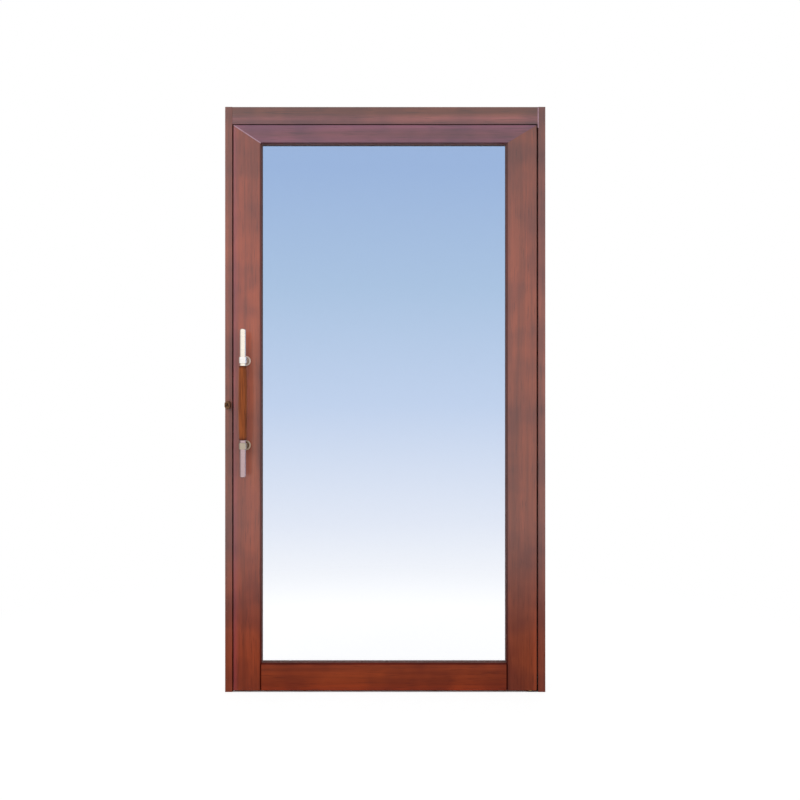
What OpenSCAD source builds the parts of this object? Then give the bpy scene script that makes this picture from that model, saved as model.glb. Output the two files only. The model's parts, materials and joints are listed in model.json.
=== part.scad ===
// Glazed timber swing door of a small lift, hung on pivots in its own timber frame.
// X runs to the right seen from the landing, Y from the landing into the lift, Z up.
// The origin lies on the underside of the threshold, midway between the jambs.

/* [Frame] */
// Overall width of the frame
frame_w = 1150; // [950:5:1400]
// Overall height of the frame
frame_h = 2100; // [1950:5:2400]
// Depth of the frame from front to back
frame_d = 100; // [94:1:140]
// Width of a jamb beside the leaf
jamb_w = 26; // [25.5:0.5:40]
// Height of the head above the leaf
head_h = 62; // [52:1:90]
// How far the stop stands into the opening
stop_w = 15; // [13:0.5:22]
// Rounding of the timber edges
arris_r = 2; // [1:0.5:3]
// Thickness of the threshold
threshold_t = 12; // [11:0.5:16]
// Width of one rib of the threshold's tread
rib_w = 4; // [3:0.5:6]
// Depth of the grooves between the ribs
rib_d = 2; // [1:0.5:2.5]

/* [Leaf] */
// Thickness of the leaf
leaf_t = 44; // [42:1:54]
// Gap between the leaf and a jamb
side_gap = 4; // [3.5:0.5:6.5]
// Gap between the leaf and the head
top_gap = 3; // [2.5:0.5:6]
// Gap between the leaf and the floor
floor_gap = 6; // [5:0.5:9]
// Gap between the leaf's back and the stop
stop_gap = 8; // [8:0.5:11]
// Face width of the stile on the lock side
lock_stile_w = 100; // [92:1:130]
// Face width of the stile on the hinge side
hinge_stile_w = 110; // [100:1:140]
// Face width of the top rail
top_rail_w = 66; // [60:1:100]
// Face width of the bottom rail
bottom_rail_w = 97; // [85:1:180]
// Width of the bevel along the lock stile's sight edge
bevel_w = 6; // [3:0.5:9]
// Depth of the bevels along the sight edges
bevel_d = 6; // [3:0.5:8]
// Chamfer on the back corner of the heel
heel_chamfer = 16; // [10:1:20]
// Rounding of the heel's front corner
heel_r = 6; // [4:0.5:8]

/* [Glazing] */
// Thickness of the pane
glass_t = 10; // [8:0.5:13]
// How far the pane reaches past the sight edge
glass_bite = 10; // [8:0.5:14]
// Play between the pane's edge and the rebate
glass_play = 4; // [3:0.5:6]
// Thickness of timber in front of the glazing
front_lip = 14; // [12:0.5:16]
// Thickness of each glazing gasket
gasket_t = 3; // [2:0.5:4]
// Width of the front gasket that shows
gasket_show = 3; // [2:0.5:10]
// Length of a setting block under the pane
block_l = 100; // [60:5:150]

/* [Pivots] */
// Distance from the leaf's hinge edge to the pivot axis
pivot_inset = 24; // [22:0.5:28]
// Distance from the leaf's face to the pivot axis
pivot_depth = 16; // [15:0.5:18]
// Radius of the lower pivot pin
lower_pin_r = 7; // [5:0.5:8]
// Radius of the upper pivot pin
upper_pin_r = 6; // [4:0.5:7]
// Wall of the pivot bushes
bush_wall = 3; // [2:0.5:4]
// Length of the lower bush
lower_bush_l = 30; // [24:1:50]
// Length of the upper bush
upper_bush_l = 24; // [18:1:36]
// Length of the closer's barrel
closer_l = 192; // [120:1:260]
// Thickness of the pivot plates
pivot_plate_t = 4; // [3:0.5:5]
// Height of the lower bracket's leg
bracket_h = 60; // [50:1:90]

/* [Handle] */
// Height of the handle's middle above the floor
handle_z = 1037; // [850:1:1200]
// Distance from the leaf's lock edge to the handle's axis
handle_inset = 45; // [30:1:60]
// Distance from the leaf's face to the handle's axis
handle_out = 60; // [45:1:80]
// Overall length of the handle
handle_l = 526; // [420:2:700]
// Radius of the handle's tube
tube_r = 10.5; // [8:0.5:13]
// Wall of the handle's tube
tube_wall = 2; // [1.5:0.25:3]
// Radius of the grip at its middle
grip_r = 16; // [15:0.5:20]
// How much slimmer the grip is at its ends
grip_crown = 2; // [1:0.25:2]
// Length of the grip
grip_l = 262; // [160:2:320]
// Gap between the grip and a standoff's collar
grip_gap = 8; // [2:0.5:20]
// Radius of a standoff's post
post_r = 9; // [7:0.5:11]
// Wall of the collar round the tube
collar_wall = 3; // [2:0.5:4]
// Height of the collar round the tube
collar_h = 24; // [22:1:32]
// Radius of a rosette
rosette_r = 18; // [14:0.5:24]
// Thickness of a rosette
rosette_t = 6; // [4:0.5:8]
// Radius of a handle bolt
bolt_r = 4; // [3:0.5:5]

/* [Lock] */
// Height of the key barrel's axis
key_z = 1030; // [900:1:1150]
// Radius of the round ends of the plate round the key barrel
key_ring_r = 10; // [10:0.25:12]
// Half of the plate's height
key_ring_h = 14; // [12.5:0.5:18]
// How far the plate stands out of the jamb
key_ring_l = 20; // [14:1:26]
// Side of the triangular key socket
key_side = 12; // [9:0.5:13]
// Depth of the key socket
key_deep = 8; // [5:0.5:12]
// Travel of the bolt
bolt_throw = 10; // [9:0.25:10.5]
// Height of the bolt
bolt_h = 20; // [16:1:30]
// Thickness of the bolt
bolt_t = 12; // [9:0.5:14]
// Height of the lock case
case_h = 150; // [110:2:190]
// Length of the lock's faceplate
faceplate_l = 200; // [195:1:240]
// Thickness of the faceplate and of the strike
faceplate_t = 2; // [1.5:0.25:2.5]
// Length of the strike plate
strike_l = 90; // [80:1:120]
// Height of the door contact
contact_z = 1220; // [1160:1:1500]
// Height of the contact's housing
contact_h = 60; // [50:1:80]

/* [Fixings] */
// Radius of the holes that fix the jambs to the wall
fixing_r = 5; // [4:0.5:6]
// Distance from a fixing hole to the end of its jamb
fixing_end = 250; // [150:5:500]
// Radius of the holes that fix the threshold to the floor
sill_hole_r = 3; // [2:0.5:4]
// Distance between the threshold's holes
sill_hole_pitch = 800; // [400:10:860]
// Shank radius of the frame's corner screws
corner_screw_r = 2.5; // [2:0.25:2.5]
// Length of the frame's corner screws
corner_screw_l = 80; // [60:1:110]
// Shank radius of the screws in the metal fittings
fitting_screw_r = 2; // [1.5:0.25:2.25]
// Length of the screws in the metal fittings
fitting_screw_l = 20; // [14:1:22]
// Shank radius of the bead screws
bead_screw_r = 1.6; // [1.2:0.1:2]
// Length of the bead screws
bead_screw_l = 32; // [26:1:40]
// Bead screws along an upright bead
bead_screws_up = 6; // [3:1:10]
// Bead screws along a level bead
bead_screws_across = 3; // [2:1:6]
// Radius of the dowels in the leaf's joints
dowel_r = 5; // [3:0.5:6]
// Length of the dowels in the bottom rail
dowel_l = 80; // [50:2:100]

/* [Hidden] */
$fn = 48;

mahogany = "sienna";
steel = "silver";
bronze = "dimgray";

// Running fit of a pin in its bush, and slack round a part that is fixed in its hole
running_fit = 0.05;
fixed_slack = 0.05;
// How far a cutter runs past the face that it opens
past = 1;
// Straight pieces that make up a rounded timber edge
ease_steps = 5;

// Depth of the section, from the landing to the lift
stop_y = -8;
leaf_back = stop_y - stop_gap;
leaf_front = leaf_back - leaf_t;
frame_front = leaf_front;
frame_back = frame_front + frame_d;
leaf_mid_y = (leaf_front + leaf_back) / 2;
stop_mid_y = (stop_y + frame_back) / 2;

// Width of the section, out from the middle
half_w = frame_w / 2;
jamb_x = half_w - jamb_w;
stop_x = jamb_x - stop_w;
leaf_x = jamb_x - side_gap;
lock_edge = -leaf_x + lock_stile_w;
hinge_edge = leaf_x - hinge_stile_w;

// Heights
head_z = frame_h - head_h;
head_stop_z = head_z - stop_w;
head_mid_z = (head_z + frame_h) / 2;
leaf_bottom = floor_gap;
leaf_top = head_z - top_gap;
rail_edge = leaf_top - top_rail_w;
sill_edge = leaf_bottom + bottom_rail_w;

// Glazing, counted inwards from the leaf's face and outwards from its sight edges
lip_y = leaf_front + front_lip;
glass_front = lip_y + gasket_t;
glass_back = glass_front + glass_t;
bead_y = glass_back + gasket_t;
bead_mid_y = (bead_y + leaf_back) / 2;
rebate = glass_bite + glass_play;
rear_gasket_show = 2;
gasket_rise = 8;
gasket_rim = 1;
bead_r = 5;

// Bevel widths that let the bevels meet on the mitres
rail_bevel_w = bevel_w * top_rail_w / lock_stile_w;
hinge_bevel_w = bevel_w * hinge_stile_w / lock_stile_w;

// Seals
seal_w = 3;
seal_root = 4;
seal_lift = 0.2;
seal_clear = 0.3;
seal_wall = 1.2;
bulb_r = (stop_gap - seal_lift - seal_clear) / 2;
seal_heel_clear = 40;
seal_side_x = -(stop_x + stop_w / 2);
seal_top_z = head_stop_z + stop_w / 2;
seal_foot = 2;

// Pivots
pivot_x = leaf_x - pivot_inset;
pivot_y = leaf_front + pivot_depth;
lower_bush_r = lower_pin_r + running_fit + bush_wall;
upper_bush_r = upper_pin_r + running_fit + bush_wall;
pin_end_play = 2;
pin_tip = 1.5;
flange_r = lower_bush_r + 4;
flange_t = 3;
washer_r = flange_r - 1;
plate_half_w = 13;
plate_nose = 14;
plate_corner_r = 8;
leg_t = 3;
pin_head_r = upper_pin_r + 3;
pin_head_t = 4;
top_plate_reach = 39;
top_screw_reach = 29;
top_screw_heel = 19;
top_plate_heel = 27;
closer_neck = 6;
closer_neck_r = lower_bush_r - 2;
bracket_screw_z = [bracket_h * 0.42, bracket_h * 0.8];

// Handle
handle_x = -leaf_x + handle_inset;
handle_y = leaf_front - handle_out;
cap_h = 8;
spigot_l = 12;
tube_half_l = handle_l / 2 - cap_h;
grip_end_r = 3;
grip_steps = 14;
standoff_half = grip_l / 2 + grip_gap + collar_h / 2;
upper_standoff_z = handle_z + standoff_half;
lower_standoff_z = handle_z - standoff_half;
bolt_reach = 25;
bolt_head_r = 2 * bolt_r;
bolt_head_t = 5;
rosette_rim = 2;

// Lock
key_inset = 12;
key_x = -half_w + key_inset;
key_wall = 2.25;
key_head_r = key_ring_r - key_wall - running_fit;
key_head_l = key_ring_l - 6;
key_recess = 2;
key_shaft_r = 6;
key_shaft_slack = 0.4;
key_chamfer = 1.5;
case_wall = 1.5;
case_x0 = -half_w;
case_x1 = -jamb_x - faceplate_t;
case_lip = 11;
case_y0 = frame_front + case_lip;
arm_y = case_y0 + 5;
arm_t = 3;
bolt_y0 = arm_y + arm_t + 1;
bolt_y1 = bolt_y0 + bolt_t;
bolt_mid_y = (bolt_y0 + bolt_y1) / 2;
case_y1 = bolt_y1 + 3;
case_z0 = key_z - case_h / 2;
case_z1 = key_z + case_h / 2;
drive_pin_r = 2;
drive_half = bolt_throw / 2;
drive_pin_x = key_x - drive_half;
drive_pin_z = key_z + drive_half;
drive_pin_y = bolt_y1 - 1;
drive_side_slack = 0.45;
arm_r = drive_pin_r + 1.2;
arm_half_w = drive_pin_r + 0.7;
bolt_tail = 2;
bolt_x0 = drive_pin_x - drive_pin_r - drive_side_slack - bolt_tail;
bolt_x1 = -jamb_x;
bolt_z0 = key_z + drive_half - drive_pin_r - 1;
bolt_z1 = bolt_z0 + bolt_h;
bolt_mid_z = (bolt_z0 + bolt_z1) / 2;
bolt_slot = 0.5;
bolt_nose = 1;
notch_top = key_z + drive_half * sqrt(2) + drive_pin_r + 1;
faceplate_w = 24;
faceplate_edge = 12;
strike_w = 24;
strike_edge = 10;
strike_slack = 1;
strike_deep = bolt_throw - side_gap + 6;

// Door contact
contact_x = -(stop_x + leaf_x) / 2;
contact_deep = 20;
contact_rim = 2;
prong_t = 2;
prong_w = 8;
prong_slack = 1.7;
prong_pitch = 16;
prong_l = 14;
slot_deep = prong_l + 4;
contact_block_t = stop_gap - 2;
contact_block_half_w = 4;
contact_block_h = contact_h - 10;

// Brush under the leaf
brush_w = 4;
brush_clear = 1.5;
holder_wall = 2;
holder_h = 10;
brush_lock_end = 8;
brush_hinge_end = pivot_inset + flange_r + 20;

// Threshold, fixings and dowels
sill_nose = 4;
fixing_sink_r = fixing_r * 1.8;
fixing_sink = 10;
bead_screw_end = 100;
corner_screw_y = [leaf_mid_y + 6, stop_mid_y + 6];
sill_screw_z = (threshold_t - rib_d) / 2;
dowel_z = [bottom_rail_w * 0.34, bottom_rail_w * 0.68];
key_along = [0.5, 0.75];
mitre_key_l = 34;

function unit(v) = v / norm(v);
function turned(v, a) = [v.x * cos(a) - v.y * sin(a), v.x * sin(a) + v.y * cos(a)];
function sense(a, b) = a.x * b.y - a.y * b.x > 0 ? -1 : 1;

// Points of a fillet of radius r at corner p, between the directions a and b
function fillet(p, a, b, r) =
    let (half = acos(a * b) / 2, c = p + unit(a + b) * r / sin(half), start = p + a * r / tan(half) - c)
    [for (i = [0 : ease_steps]) c + turned(start, sense(a, b) * (180 - 2 * half) * i / ease_steps)];

// Outline with each corner rounded to its own radius, 0 for a sharp one
function eased(points, radii) = let (n = len(points)) [
    for (i = [0 : n - 1])
        let (p = points[i], a = unit(points[(i + n - 1) % n] - p), b = unit(points[(i + 1) % n] - p))
        each radii[i] == 0 ? [p] : fillet(p, a, b, radii[i])
];

// Block between two opposite corners
module block(low, high) {
    translate(low)
        cube(high - low);
}

// Prism along Z of an outline in X and Y
module upright(outline, z0, z1) {
    translate([0, 0, z0])
        linear_extrude(z1 - z0)
            polygon(outline);
}

// Prism along X of an outline in Y and Z
module level(outline, x0, x1) {
    translate([x0, 0, 0])
        rotate([90, 0, 90])
            linear_extrude(x1 - x0)
                polygon(outline);
}

// Prism along Y of an outline in X and Z
module deep(outline, y0, y1) {
    translate([0, y1, 0])
        rotate([90, 0, 0])
            linear_extrude(y1 - y0)
                polygon(outline);
}

// Countersunk screw with its head at the origin and its shank down Z
module screw(shank_r, length, slack = 0) {
    head_r = 2 * shank_r;
    rotate_extrude()
        polygon([
            [0, 0], [head_r + slack, 0], [shank_r + slack, shank_r - head_r],
            [shank_r + slack, -length - slack], [0, -length - slack]
        ]);
}

// The same screw with a hexagon socket in its head
module socket_screw(shank_r, length) {
    difference() {
        screw(shank_r, length);
        translate([0, 0, -shank_r])
            cylinder(h = shank_r + past, r = shank_r * 0.9, $fn = 6);
    }
}

// Frame

function jamb_outline(side) = [
    for (p = eased(
        [
            [half_w, frame_front], [jamb_x, frame_front], [jamb_x, stop_y],
            [stop_x, stop_y], [stop_x, frame_back], [half_w, frame_back]
        ],
        [arris_r, arris_r, 0, arris_r, arris_r, 0]
    )) [side * p.x, p.y]
];

module at_corner_screws() {
    for (side = [-1, 1]) {
        for (y = corner_screw_y)
            translate([side * half_w, y, head_mid_z])
                rotate([0, side * 90, 0])
                    children();
        translate([side * half_w, stop_mid_y, sill_screw_z])
            rotate([0, side * 90, 0])
                children();
    }
}

module corner_screw_holes() {
    at_corner_screws()
        screw(corner_screw_r, corner_screw_l, fixed_slack);
}

// Counterbored wall fixings through one jamb
module fixing_holes(side) {
    for (z = [fixing_end, frame_h - fixing_end])
        translate([side * half_w, stop_mid_y, z])
            rotate([0, -side * 90, 0]) {
                translate([0, 0, -past])
                    cylinder(h = jamb_w + stop_w + 2 * past, r = fixing_r);
                translate([0, 0, jamb_w + stop_w - fixing_sink])
                    cylinder(h = fixing_sink + past, r = fixing_sink_r);
            }
}

module seal_groove_up() {
    block(
        [seal_side_x - seal_w / 2, stop_y - past, threshold_t + seal_foot],
        [seal_side_x + seal_w / 2, stop_y + seal_root, leaf_top]
    );
}

module contact_pocket() {
    block(
        [-stop_x - stop_w + contact_rim, stop_y - past, contact_z - contact_h / 2],
        [-stop_x + past, stop_y + contact_deep, contact_z + contact_h / 2]
    );
}

module lock_jamb() {
    color(mahogany)
        difference() {
            upright(jamb_outline(-1), 0, frame_h);
            corner_screw_holes();
            fixing_holes(-1);
            seal_groove_up();
            contact_pocket();
            block([case_x0 - past, case_y0, case_z0], [case_x1, case_y1, case_z1]);
            faceplate_blank(past);
            at_faceplate_screws()
                screw(fitting_screw_r, fitting_screw_l, fixed_slack);
            at_key(frame_front - past)
                cylinder(h = case_lip + 2 * past, r = key_shaft_r + key_shaft_slack);
        }
}

module hinge_jamb() {
    color(mahogany)
        difference() {
            upright(jamb_outline(1), 0, frame_h);
            corner_screw_holes();
            fixing_holes(1);
            block(
                [jamb_x - past, pivot_y - plate_half_w, -past],
                [jamb_x + leg_t, pivot_y + plate_half_w, bracket_h]
            );
            at_bracket_screws()
                screw(fitting_screw_r, fitting_screw_l, fixed_slack);
        }
}

module head() {
    front_part = eased(
        [[frame_front, head_z], [frame_front, frame_h], [stop_y, frame_h], [stop_y, head_z]],
        [arris_r, arris_r, 0, 0]
    );
    stop_part = eased(
        [[stop_y, head_stop_z], [stop_y, frame_h], [frame_back, frame_h], [frame_back, head_stop_z]],
        [arris_r, 0, 0, arris_r]
    );
    color(mahogany)
        difference() {
            union() {
                level(front_part, -jamb_x, jamb_x);
                level(stop_part, -stop_x, stop_x);
            }
            corner_screw_holes();
            top_plate_blank(past);
            at_pivot(head_z - past)
                cylinder(h = pivot_plate_t + pin_head_t + past + fixed_slack, r = pin_head_r + fixed_slack);
            at_top_screws()
                screw(fitting_screw_r, fitting_screw_l, fixed_slack);
            block(
                [-stop_x - past, stop_y - past, seal_top_z - seal_w / 2],
                [pivot_x - seal_heel_clear, stop_y + seal_root, seal_top_z + seal_w / 2]
            );
        }
}

module threshold() {
    sill = eased(
        [[stop_y, 0], [stop_y, threshold_t], [frame_back, threshold_t], [frame_back, 0]],
        [0, rib_d, rib_d, 0]
    );
    ribs = floor((frame_d + frame_front - stop_y - 2 * sill_nose) / (2 * rib_w));
    color(steel)
        difference() {
            level(sill, -stop_x, stop_x);
            for (i = [0 : ribs - 1])
                translate([0, stop_y + sill_nose + (2 * i + 0.5) * rib_w, 0])
                    block(
                        [-stop_x - past, 0, threshold_t - rib_d],
                        [stop_x + past, rib_w, threshold_t + past]
                    );
            corner_screw_holes();
            for (side = [-1, 1])
                translate([side * sill_hole_pitch / 2, stop_mid_y, 0]) {
                    translate([0, 0, -past])
                        cylinder(h = threshold_t + 2 * past, r = sill_hole_r);
                    translate([0, 0, threshold_t - rib_d - sill_hole_r])
                        cylinder(h = rib_d + sill_hole_r + past, r = 2 * sill_hole_r);
                }
        }
}

module corner_screws() {
    color(steel)
        at_corner_screws()
            socket_screw(corner_screw_r, corner_screw_l);
}

// Tubular bulb with a root, looking along its length, the root towards +Y
module seal_section() {
    difference() {
        union() {
            translate([0, -seal_lift - bulb_r])
                circle(r = bulb_r);
            translate([-seal_w / 2, -bulb_r / 2])
                square([seal_w, bulb_r / 2 + seal_root]);
        }
        translate([0, -seal_lift - bulb_r])
            circle(r = bulb_r - seal_wall);
    }
}

module lock_jamb_seal() {
    color("black")
        difference() {
            translate([seal_side_x, stop_y, threshold_t + seal_foot])
                linear_extrude(leaf_top - threshold_t - seal_foot)
                    seal_section();
            block(
                [-jamb_x, leaf_back, contact_z - contact_h / 2],
                [-stop_x, stop_y + contact_deep, contact_z + contact_h / 2]
            );
        }
}

module head_seal() {
    color("black")
        translate([-stop_x, stop_y, seal_top_z])
            rotate([0, 90, 0])
                linear_extrude(stop_x + pivot_x - seal_heel_clear)
                    seal_section();
}

// Pivots

module at_pivot(z) {
    translate([pivot_x, pivot_y, z])
        children();
}

module at_top_screws() {
    for (x = [pivot_x - top_screw_reach, pivot_x + top_screw_heel])
        translate([x, pivot_y, head_z])
            rotate([180, 0, 0])
                children();
}

module at_bracket_screws() {
    for (z = bracket_screw_z)
        translate([jamb_x, pivot_y, z])
            rotate([0, -90, 0])
                children();
}

module top_plate_blank(extra = 0) {
    outline = eased(
        [
            [pivot_x - top_plate_reach, pivot_y - plate_half_w],
            [pivot_x + top_plate_heel, pivot_y - plate_half_w],
            [pivot_x + top_plate_heel, pivot_y + plate_half_w],
            [pivot_x - top_plate_reach, pivot_y + plate_half_w]
        ],
        [plate_corner_r, plate_corner_r, plate_corner_r, plate_corner_r]
    );
    upright(outline, head_z - extra, head_z + pivot_plate_t);
}

module top_pivot_plate() {
    color(steel)
        difference() {
            top_plate_blank();
            at_pivot(head_z - past)
                cylinder(h = pivot_plate_t + 2 * past, r = upper_pin_r + fixed_slack);
            at_top_screws()
                screw(fitting_screw_r, fitting_screw_l, fixed_slack);
        }
}

module top_pivot_pin() {
    top = head_z + pivot_plate_t;
    tip = leaf_top - upper_bush_l + pin_end_play;
    color(steel)
        at_pivot(0)
            rotate_extrude()
                polygon([
                    [0, tip], [upper_pin_r - pin_tip, tip],
                    [upper_pin_r, tip + pin_tip], [upper_pin_r, top],
                    [pin_head_r, top], [pin_head_r, top + pin_head_t], [0, top + pin_head_t]
                ]);
}

module top_pivot_screws() {
    color(steel)
        at_top_screws()
            socket_screw(fitting_screw_r, fitting_screw_l);
}

module bottom_pivot_bracket() {
    foot = eased(
        [
            [pivot_x - plate_nose, pivot_y - plate_half_w], [jamb_x + leg_t, pivot_y - plate_half_w],
            [jamb_x + leg_t, pivot_y + plate_half_w], [pivot_x - plate_nose, pivot_y + plate_half_w]
        ],
        [plate_corner_r, 0, 0, plate_corner_r]
    );
    color(steel)
        difference() {
            union() {
                upright(foot, 0, pivot_plate_t);
                block(
                    [jamb_x, pivot_y - plate_half_w, 0],
                    [jamb_x + leg_t, pivot_y + plate_half_w, bracket_h]
                );
            }
            at_pivot(-past)
                cylinder(h = pivot_plate_t + 2 * past, r = lower_pin_r + fixed_slack);
            at_bracket_screws()
                screw(fitting_screw_r, fitting_screw_l, fixed_slack);
        }
}

module bottom_pivot_pin() {
    tip = leaf_bottom + lower_bush_l - pin_end_play;
    color(steel)
        at_pivot(0)
            rotate_extrude()
                polygon([
                    [0, 0], [lower_pin_r, 0],
                    [lower_pin_r, tip - pin_tip], [lower_pin_r - pin_tip, tip], [0, tip]
                ]);
}

module bottom_pivot_screws() {
    color(steel)
        at_bracket_screws()
            socket_screw(fitting_screw_r, fitting_screw_l);
}

module thrust_washer() {
    color("goldenrod")
        at_pivot(pivot_plate_t)
            difference() {
                cylinder(h = leaf_bottom - pivot_plate_t, r = washer_r);
                translate([0, 0, -past])
                    cylinder(h = leaf_bottom, r = lower_pin_r + fixed_slack);
            }
}

module top_pivot_bush() {
    color("goldenrod")
        at_pivot(leaf_top - upper_bush_l)
            difference() {
                cylinder(h = upper_bush_l, r = upper_bush_r);
                translate([0, 0, -past])
                    cylinder(h = upper_bush_l + 2 * past, r = upper_pin_r + running_fit);
            }
}

module bottom_pivot_bush() {
    color("goldenrod")
        at_pivot(leaf_bottom)
            difference() {
                union() {
                    cylinder(h = flange_t, r = flange_r);
                    cylinder(h = lower_bush_l, r = lower_bush_r);
                }
                translate([0, 0, -past])
                    cylinder(h = lower_bush_l + 2 * past, r = lower_pin_r + running_fit);
            }
}

module closer_barrel() {
    color(steel)
        at_pivot(leaf_bottom + lower_bush_l)
            rotate_extrude()
                polygon([
                    [0, 0], [lower_bush_r, 0], [lower_bush_r, closer_l - closer_neck],
                    [closer_neck_r, closer_l - closer_neck], [closer_neck_r, closer_l], [0, closer_l]
                ]);
}

// Bores in the leaf for the pivot bushes and the closer
module pivot_bores() {
    at_pivot(leaf_top - upper_bush_l)
        cylinder(h = upper_bush_l + past, r = upper_bush_r + fixed_slack);
    at_pivot(leaf_bottom - past) {
        cylinder(h = flange_t + past, r = flange_r + fixed_slack);
        cylinder(h = lower_bush_l + closer_l + past, r = lower_bush_r + fixed_slack);
    }
}

// Lock in the jamb

// Along Y, starting at depth y on the key's axis
module at_key(y) {
    translate([key_x, y, key_z])
        rotate([-90, 0, 0])
            children();
}

module at_faceplate_screws() {
    for (side = [-1, 1])
        translate([-jamb_x, bolt_mid_y, key_z + side * (faceplate_l / 2 - faceplate_edge)])
            rotate([0, 90, 0])
                children();
}

module faceplate_blank(extra = 0) {
    block(
        [case_x1, bolt_mid_y - faceplate_w / 2, key_z - faceplate_l / 2],
        [-jamb_x + extra, bolt_mid_y + faceplate_w / 2, key_z + faceplate_l / 2]
    );
}

// Passage of the bolt, with a gap all round it
module bolt_way(x0, x1, gap) {
    block([x0, bolt_y0 - gap, bolt_z0 - gap], [x1, bolt_y1 + gap, bolt_z1 + gap]);
}

module lock_case() {
    color(steel)
        difference() {
            block([case_x0, case_y0, case_z0], [case_x1, case_y1, case_z1]);
            block(
                [case_x0 + case_wall, case_y0 + case_wall, case_z0 + case_wall],
                [case_x1 - case_wall, case_y1 - case_wall, case_z1 - case_wall]
            );
            bolt_way(case_x1 - case_wall - past, case_x1 + past, bolt_slot);
            at_key(case_y0 - past)
                cylinder(h = case_wall + 2 * past, r = key_shaft_r + key_shaft_slack);
        }
}

module lock_faceplate() {
    color(steel)
        difference() {
            faceplate_blank();
            bolt_way(case_x1 - past, -jamb_x + past, bolt_slot);
            at_faceplate_screws()
                screw(fitting_screw_r, fitting_screw_l, fixed_slack);
        }
}

module faceplate_screws() {
    color(steel)
        at_faceplate_screws()
            socket_screw(fitting_screw_r, fitting_screw_l);
}

// Upright plate with round ends and a chamfered nose, bored for the key barrel
module key_escutcheon() {
    rise = key_ring_h - key_ring_r;
    nose = frame_front - key_ring_l;
    half_plan = [
        [key_ring_r, key_ring_l], [key_ring_r, key_chamfer], [key_ring_r - key_chamfer, 0]
    ];
    plan = [
        for (p = half_plan) [key_x + p.x, nose + p.y],
        for (i = [2 : -1 : 0]) [key_x - half_plan[i].x, nose + half_plan[i].y]
    ];
    color(bronze)
        difference() {
            union() {
                upright(plan, key_z - rise, key_z + rise);
                for (side = [-1, 1])
                    translate([0, 0, side * rise])
                        at_key(nose)
                            rotate_extrude()
                                polygon([[0, key_ring_l], each half_plan, [0, 0]]);
            }
            at_key(nose - past)
                cylinder(h = key_ring_l + 2 * past, r = key_ring_r - key_wall);
        }
}

// Barrel with a triangular socket, and the arm and pin that drive the bolt
module key_plug() {
    barrel_y = frame_front - key_ring_l + key_recess;
    axis = [key_x, key_z];
    pin = [drive_pin_x, drive_pin_z];
    across = unit([1, 1]) * arm_half_w;
    color(bronze)
        difference() {
            union() {
                at_key(barrel_y)
                    cylinder(h = key_head_l, r = key_head_r);
                at_key(barrel_y)
                    cylinder(h = arm_y + arm_t - barrel_y, r = key_shaft_r);
                deep([axis + across, pin + across, pin - across, axis - across], arm_y, arm_y + arm_t);
                translate([drive_pin_x, arm_y, drive_pin_z])
                    rotate([-90, 0, 0]) {
                        cylinder(h = arm_t, r = arm_r);
                        cylinder(h = drive_pin_y - arm_y, r = drive_pin_r);
                    }
            }
            at_key(barrel_y - past)
                rotate([0, 0, -90])
                    cylinder(h = key_deep + past, r = key_side / sqrt(3), $fn = 3);
        }
}

module lock_bolt() {
    outline = [
        [bolt_x0, bolt_y0], [bolt_x1 - bolt_nose, bolt_y0], [bolt_x1, bolt_y0 + bolt_nose],
        [bolt_x1, bolt_y1 - bolt_nose], [bolt_x1 - bolt_nose, bolt_y1], [bolt_x0, bolt_y1]
    ];
    notch = drive_pin_r + drive_side_slack;
    color(steel)
        difference() {
            upright(outline, bolt_z0, bolt_z1);
            block(
                [drive_pin_x - notch, bolt_y0 - past, bolt_z0 - past],
                [drive_pin_x + notch, bolt_y1 + past, notch_top]
            );
        }
}

// Leaf

// Plan of the whole leaf, with its heel chamfered to swing past the stop
leaf_plan = eased(
    [
        [-leaf_x, leaf_front], [leaf_x, leaf_front], [leaf_x, leaf_back - heel_chamfer],
        [leaf_x - heel_chamfer, leaf_back], [-leaf_x, leaf_back]
    ],
    [arris_r, heel_r, 0, 0, arris_r]
);

// Bevel and glazing rebate along one sight edge, as outlines of distance out from it and depth
function bevel_cut(w) = [[-past, leaf_front - past], [w + w / bevel_d * past, leaf_front - past],
    [-past * w / bevel_d, leaf_front + bevel_d + past], [-past, leaf_front + bevel_d + past]];
rebate_cut = [[-past, lip_y], [rebate, lip_y], [rebate, leaf_back + past], [-past, leaf_back + past]];

// An outline of distance and depth, set on an upright or a level sight edge
function from_upright(outline, x, out) = [for (p = outline) [x + out * p.x, p.y]];
function from_level(outline, z, out) = [for (p = outline) [p.y, z + out * p.x]];

module brush_groove() {
    half = brush_w / 2 + holder_wall;
    block(
        [-leaf_x + brush_lock_end, leaf_mid_y - half, leaf_bottom - past],
        [leaf_x - brush_hinge_end, leaf_mid_y + half, leaf_bottom + holder_h]
    );
}

module at_bead_screws() {
    up = (rail_edge - sill_edge - 2 * bead_screw_end) / (bead_screws_up - 1);
    across = (hinge_edge - lock_edge - 2 * bead_screw_end) / (bead_screws_across - 1);
    for (i = [0 : bead_screws_up - 1]) {
        z = sill_edge + bead_screw_end + i * up;
        translate([lock_edge, bead_mid_y, z])
            rotate([0, 90, 0])
                children();
        translate([hinge_edge, bead_mid_y, z])
            rotate([0, -90, 0])
                children();
    }
    for (i = [0 : bead_screws_across - 1]) {
        x = lock_edge + bead_screw_end + i * across;
        translate([x, bead_mid_y, sill_edge])
            children();
        translate([x, bead_mid_y, rail_edge])
            rotate([180, 0, 0])
                children();
    }
}

module bead_screw_holes() {
    at_bead_screws()
        screw(bead_screw_r, bead_screw_l, fixed_slack);
}

// Dowels across the butt joints of the bottom rail
module dowel_set(slack = 0) {
    for (x = [lock_edge, hinge_edge], z = dowel_z)
        translate([x - dowel_l / 2 - slack, leaf_mid_y, leaf_bottom + z])
            rotate([0, 90, 0])
                cylinder(h = dowel_l + 2 * slack, r = dowel_r + slack);
}

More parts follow.
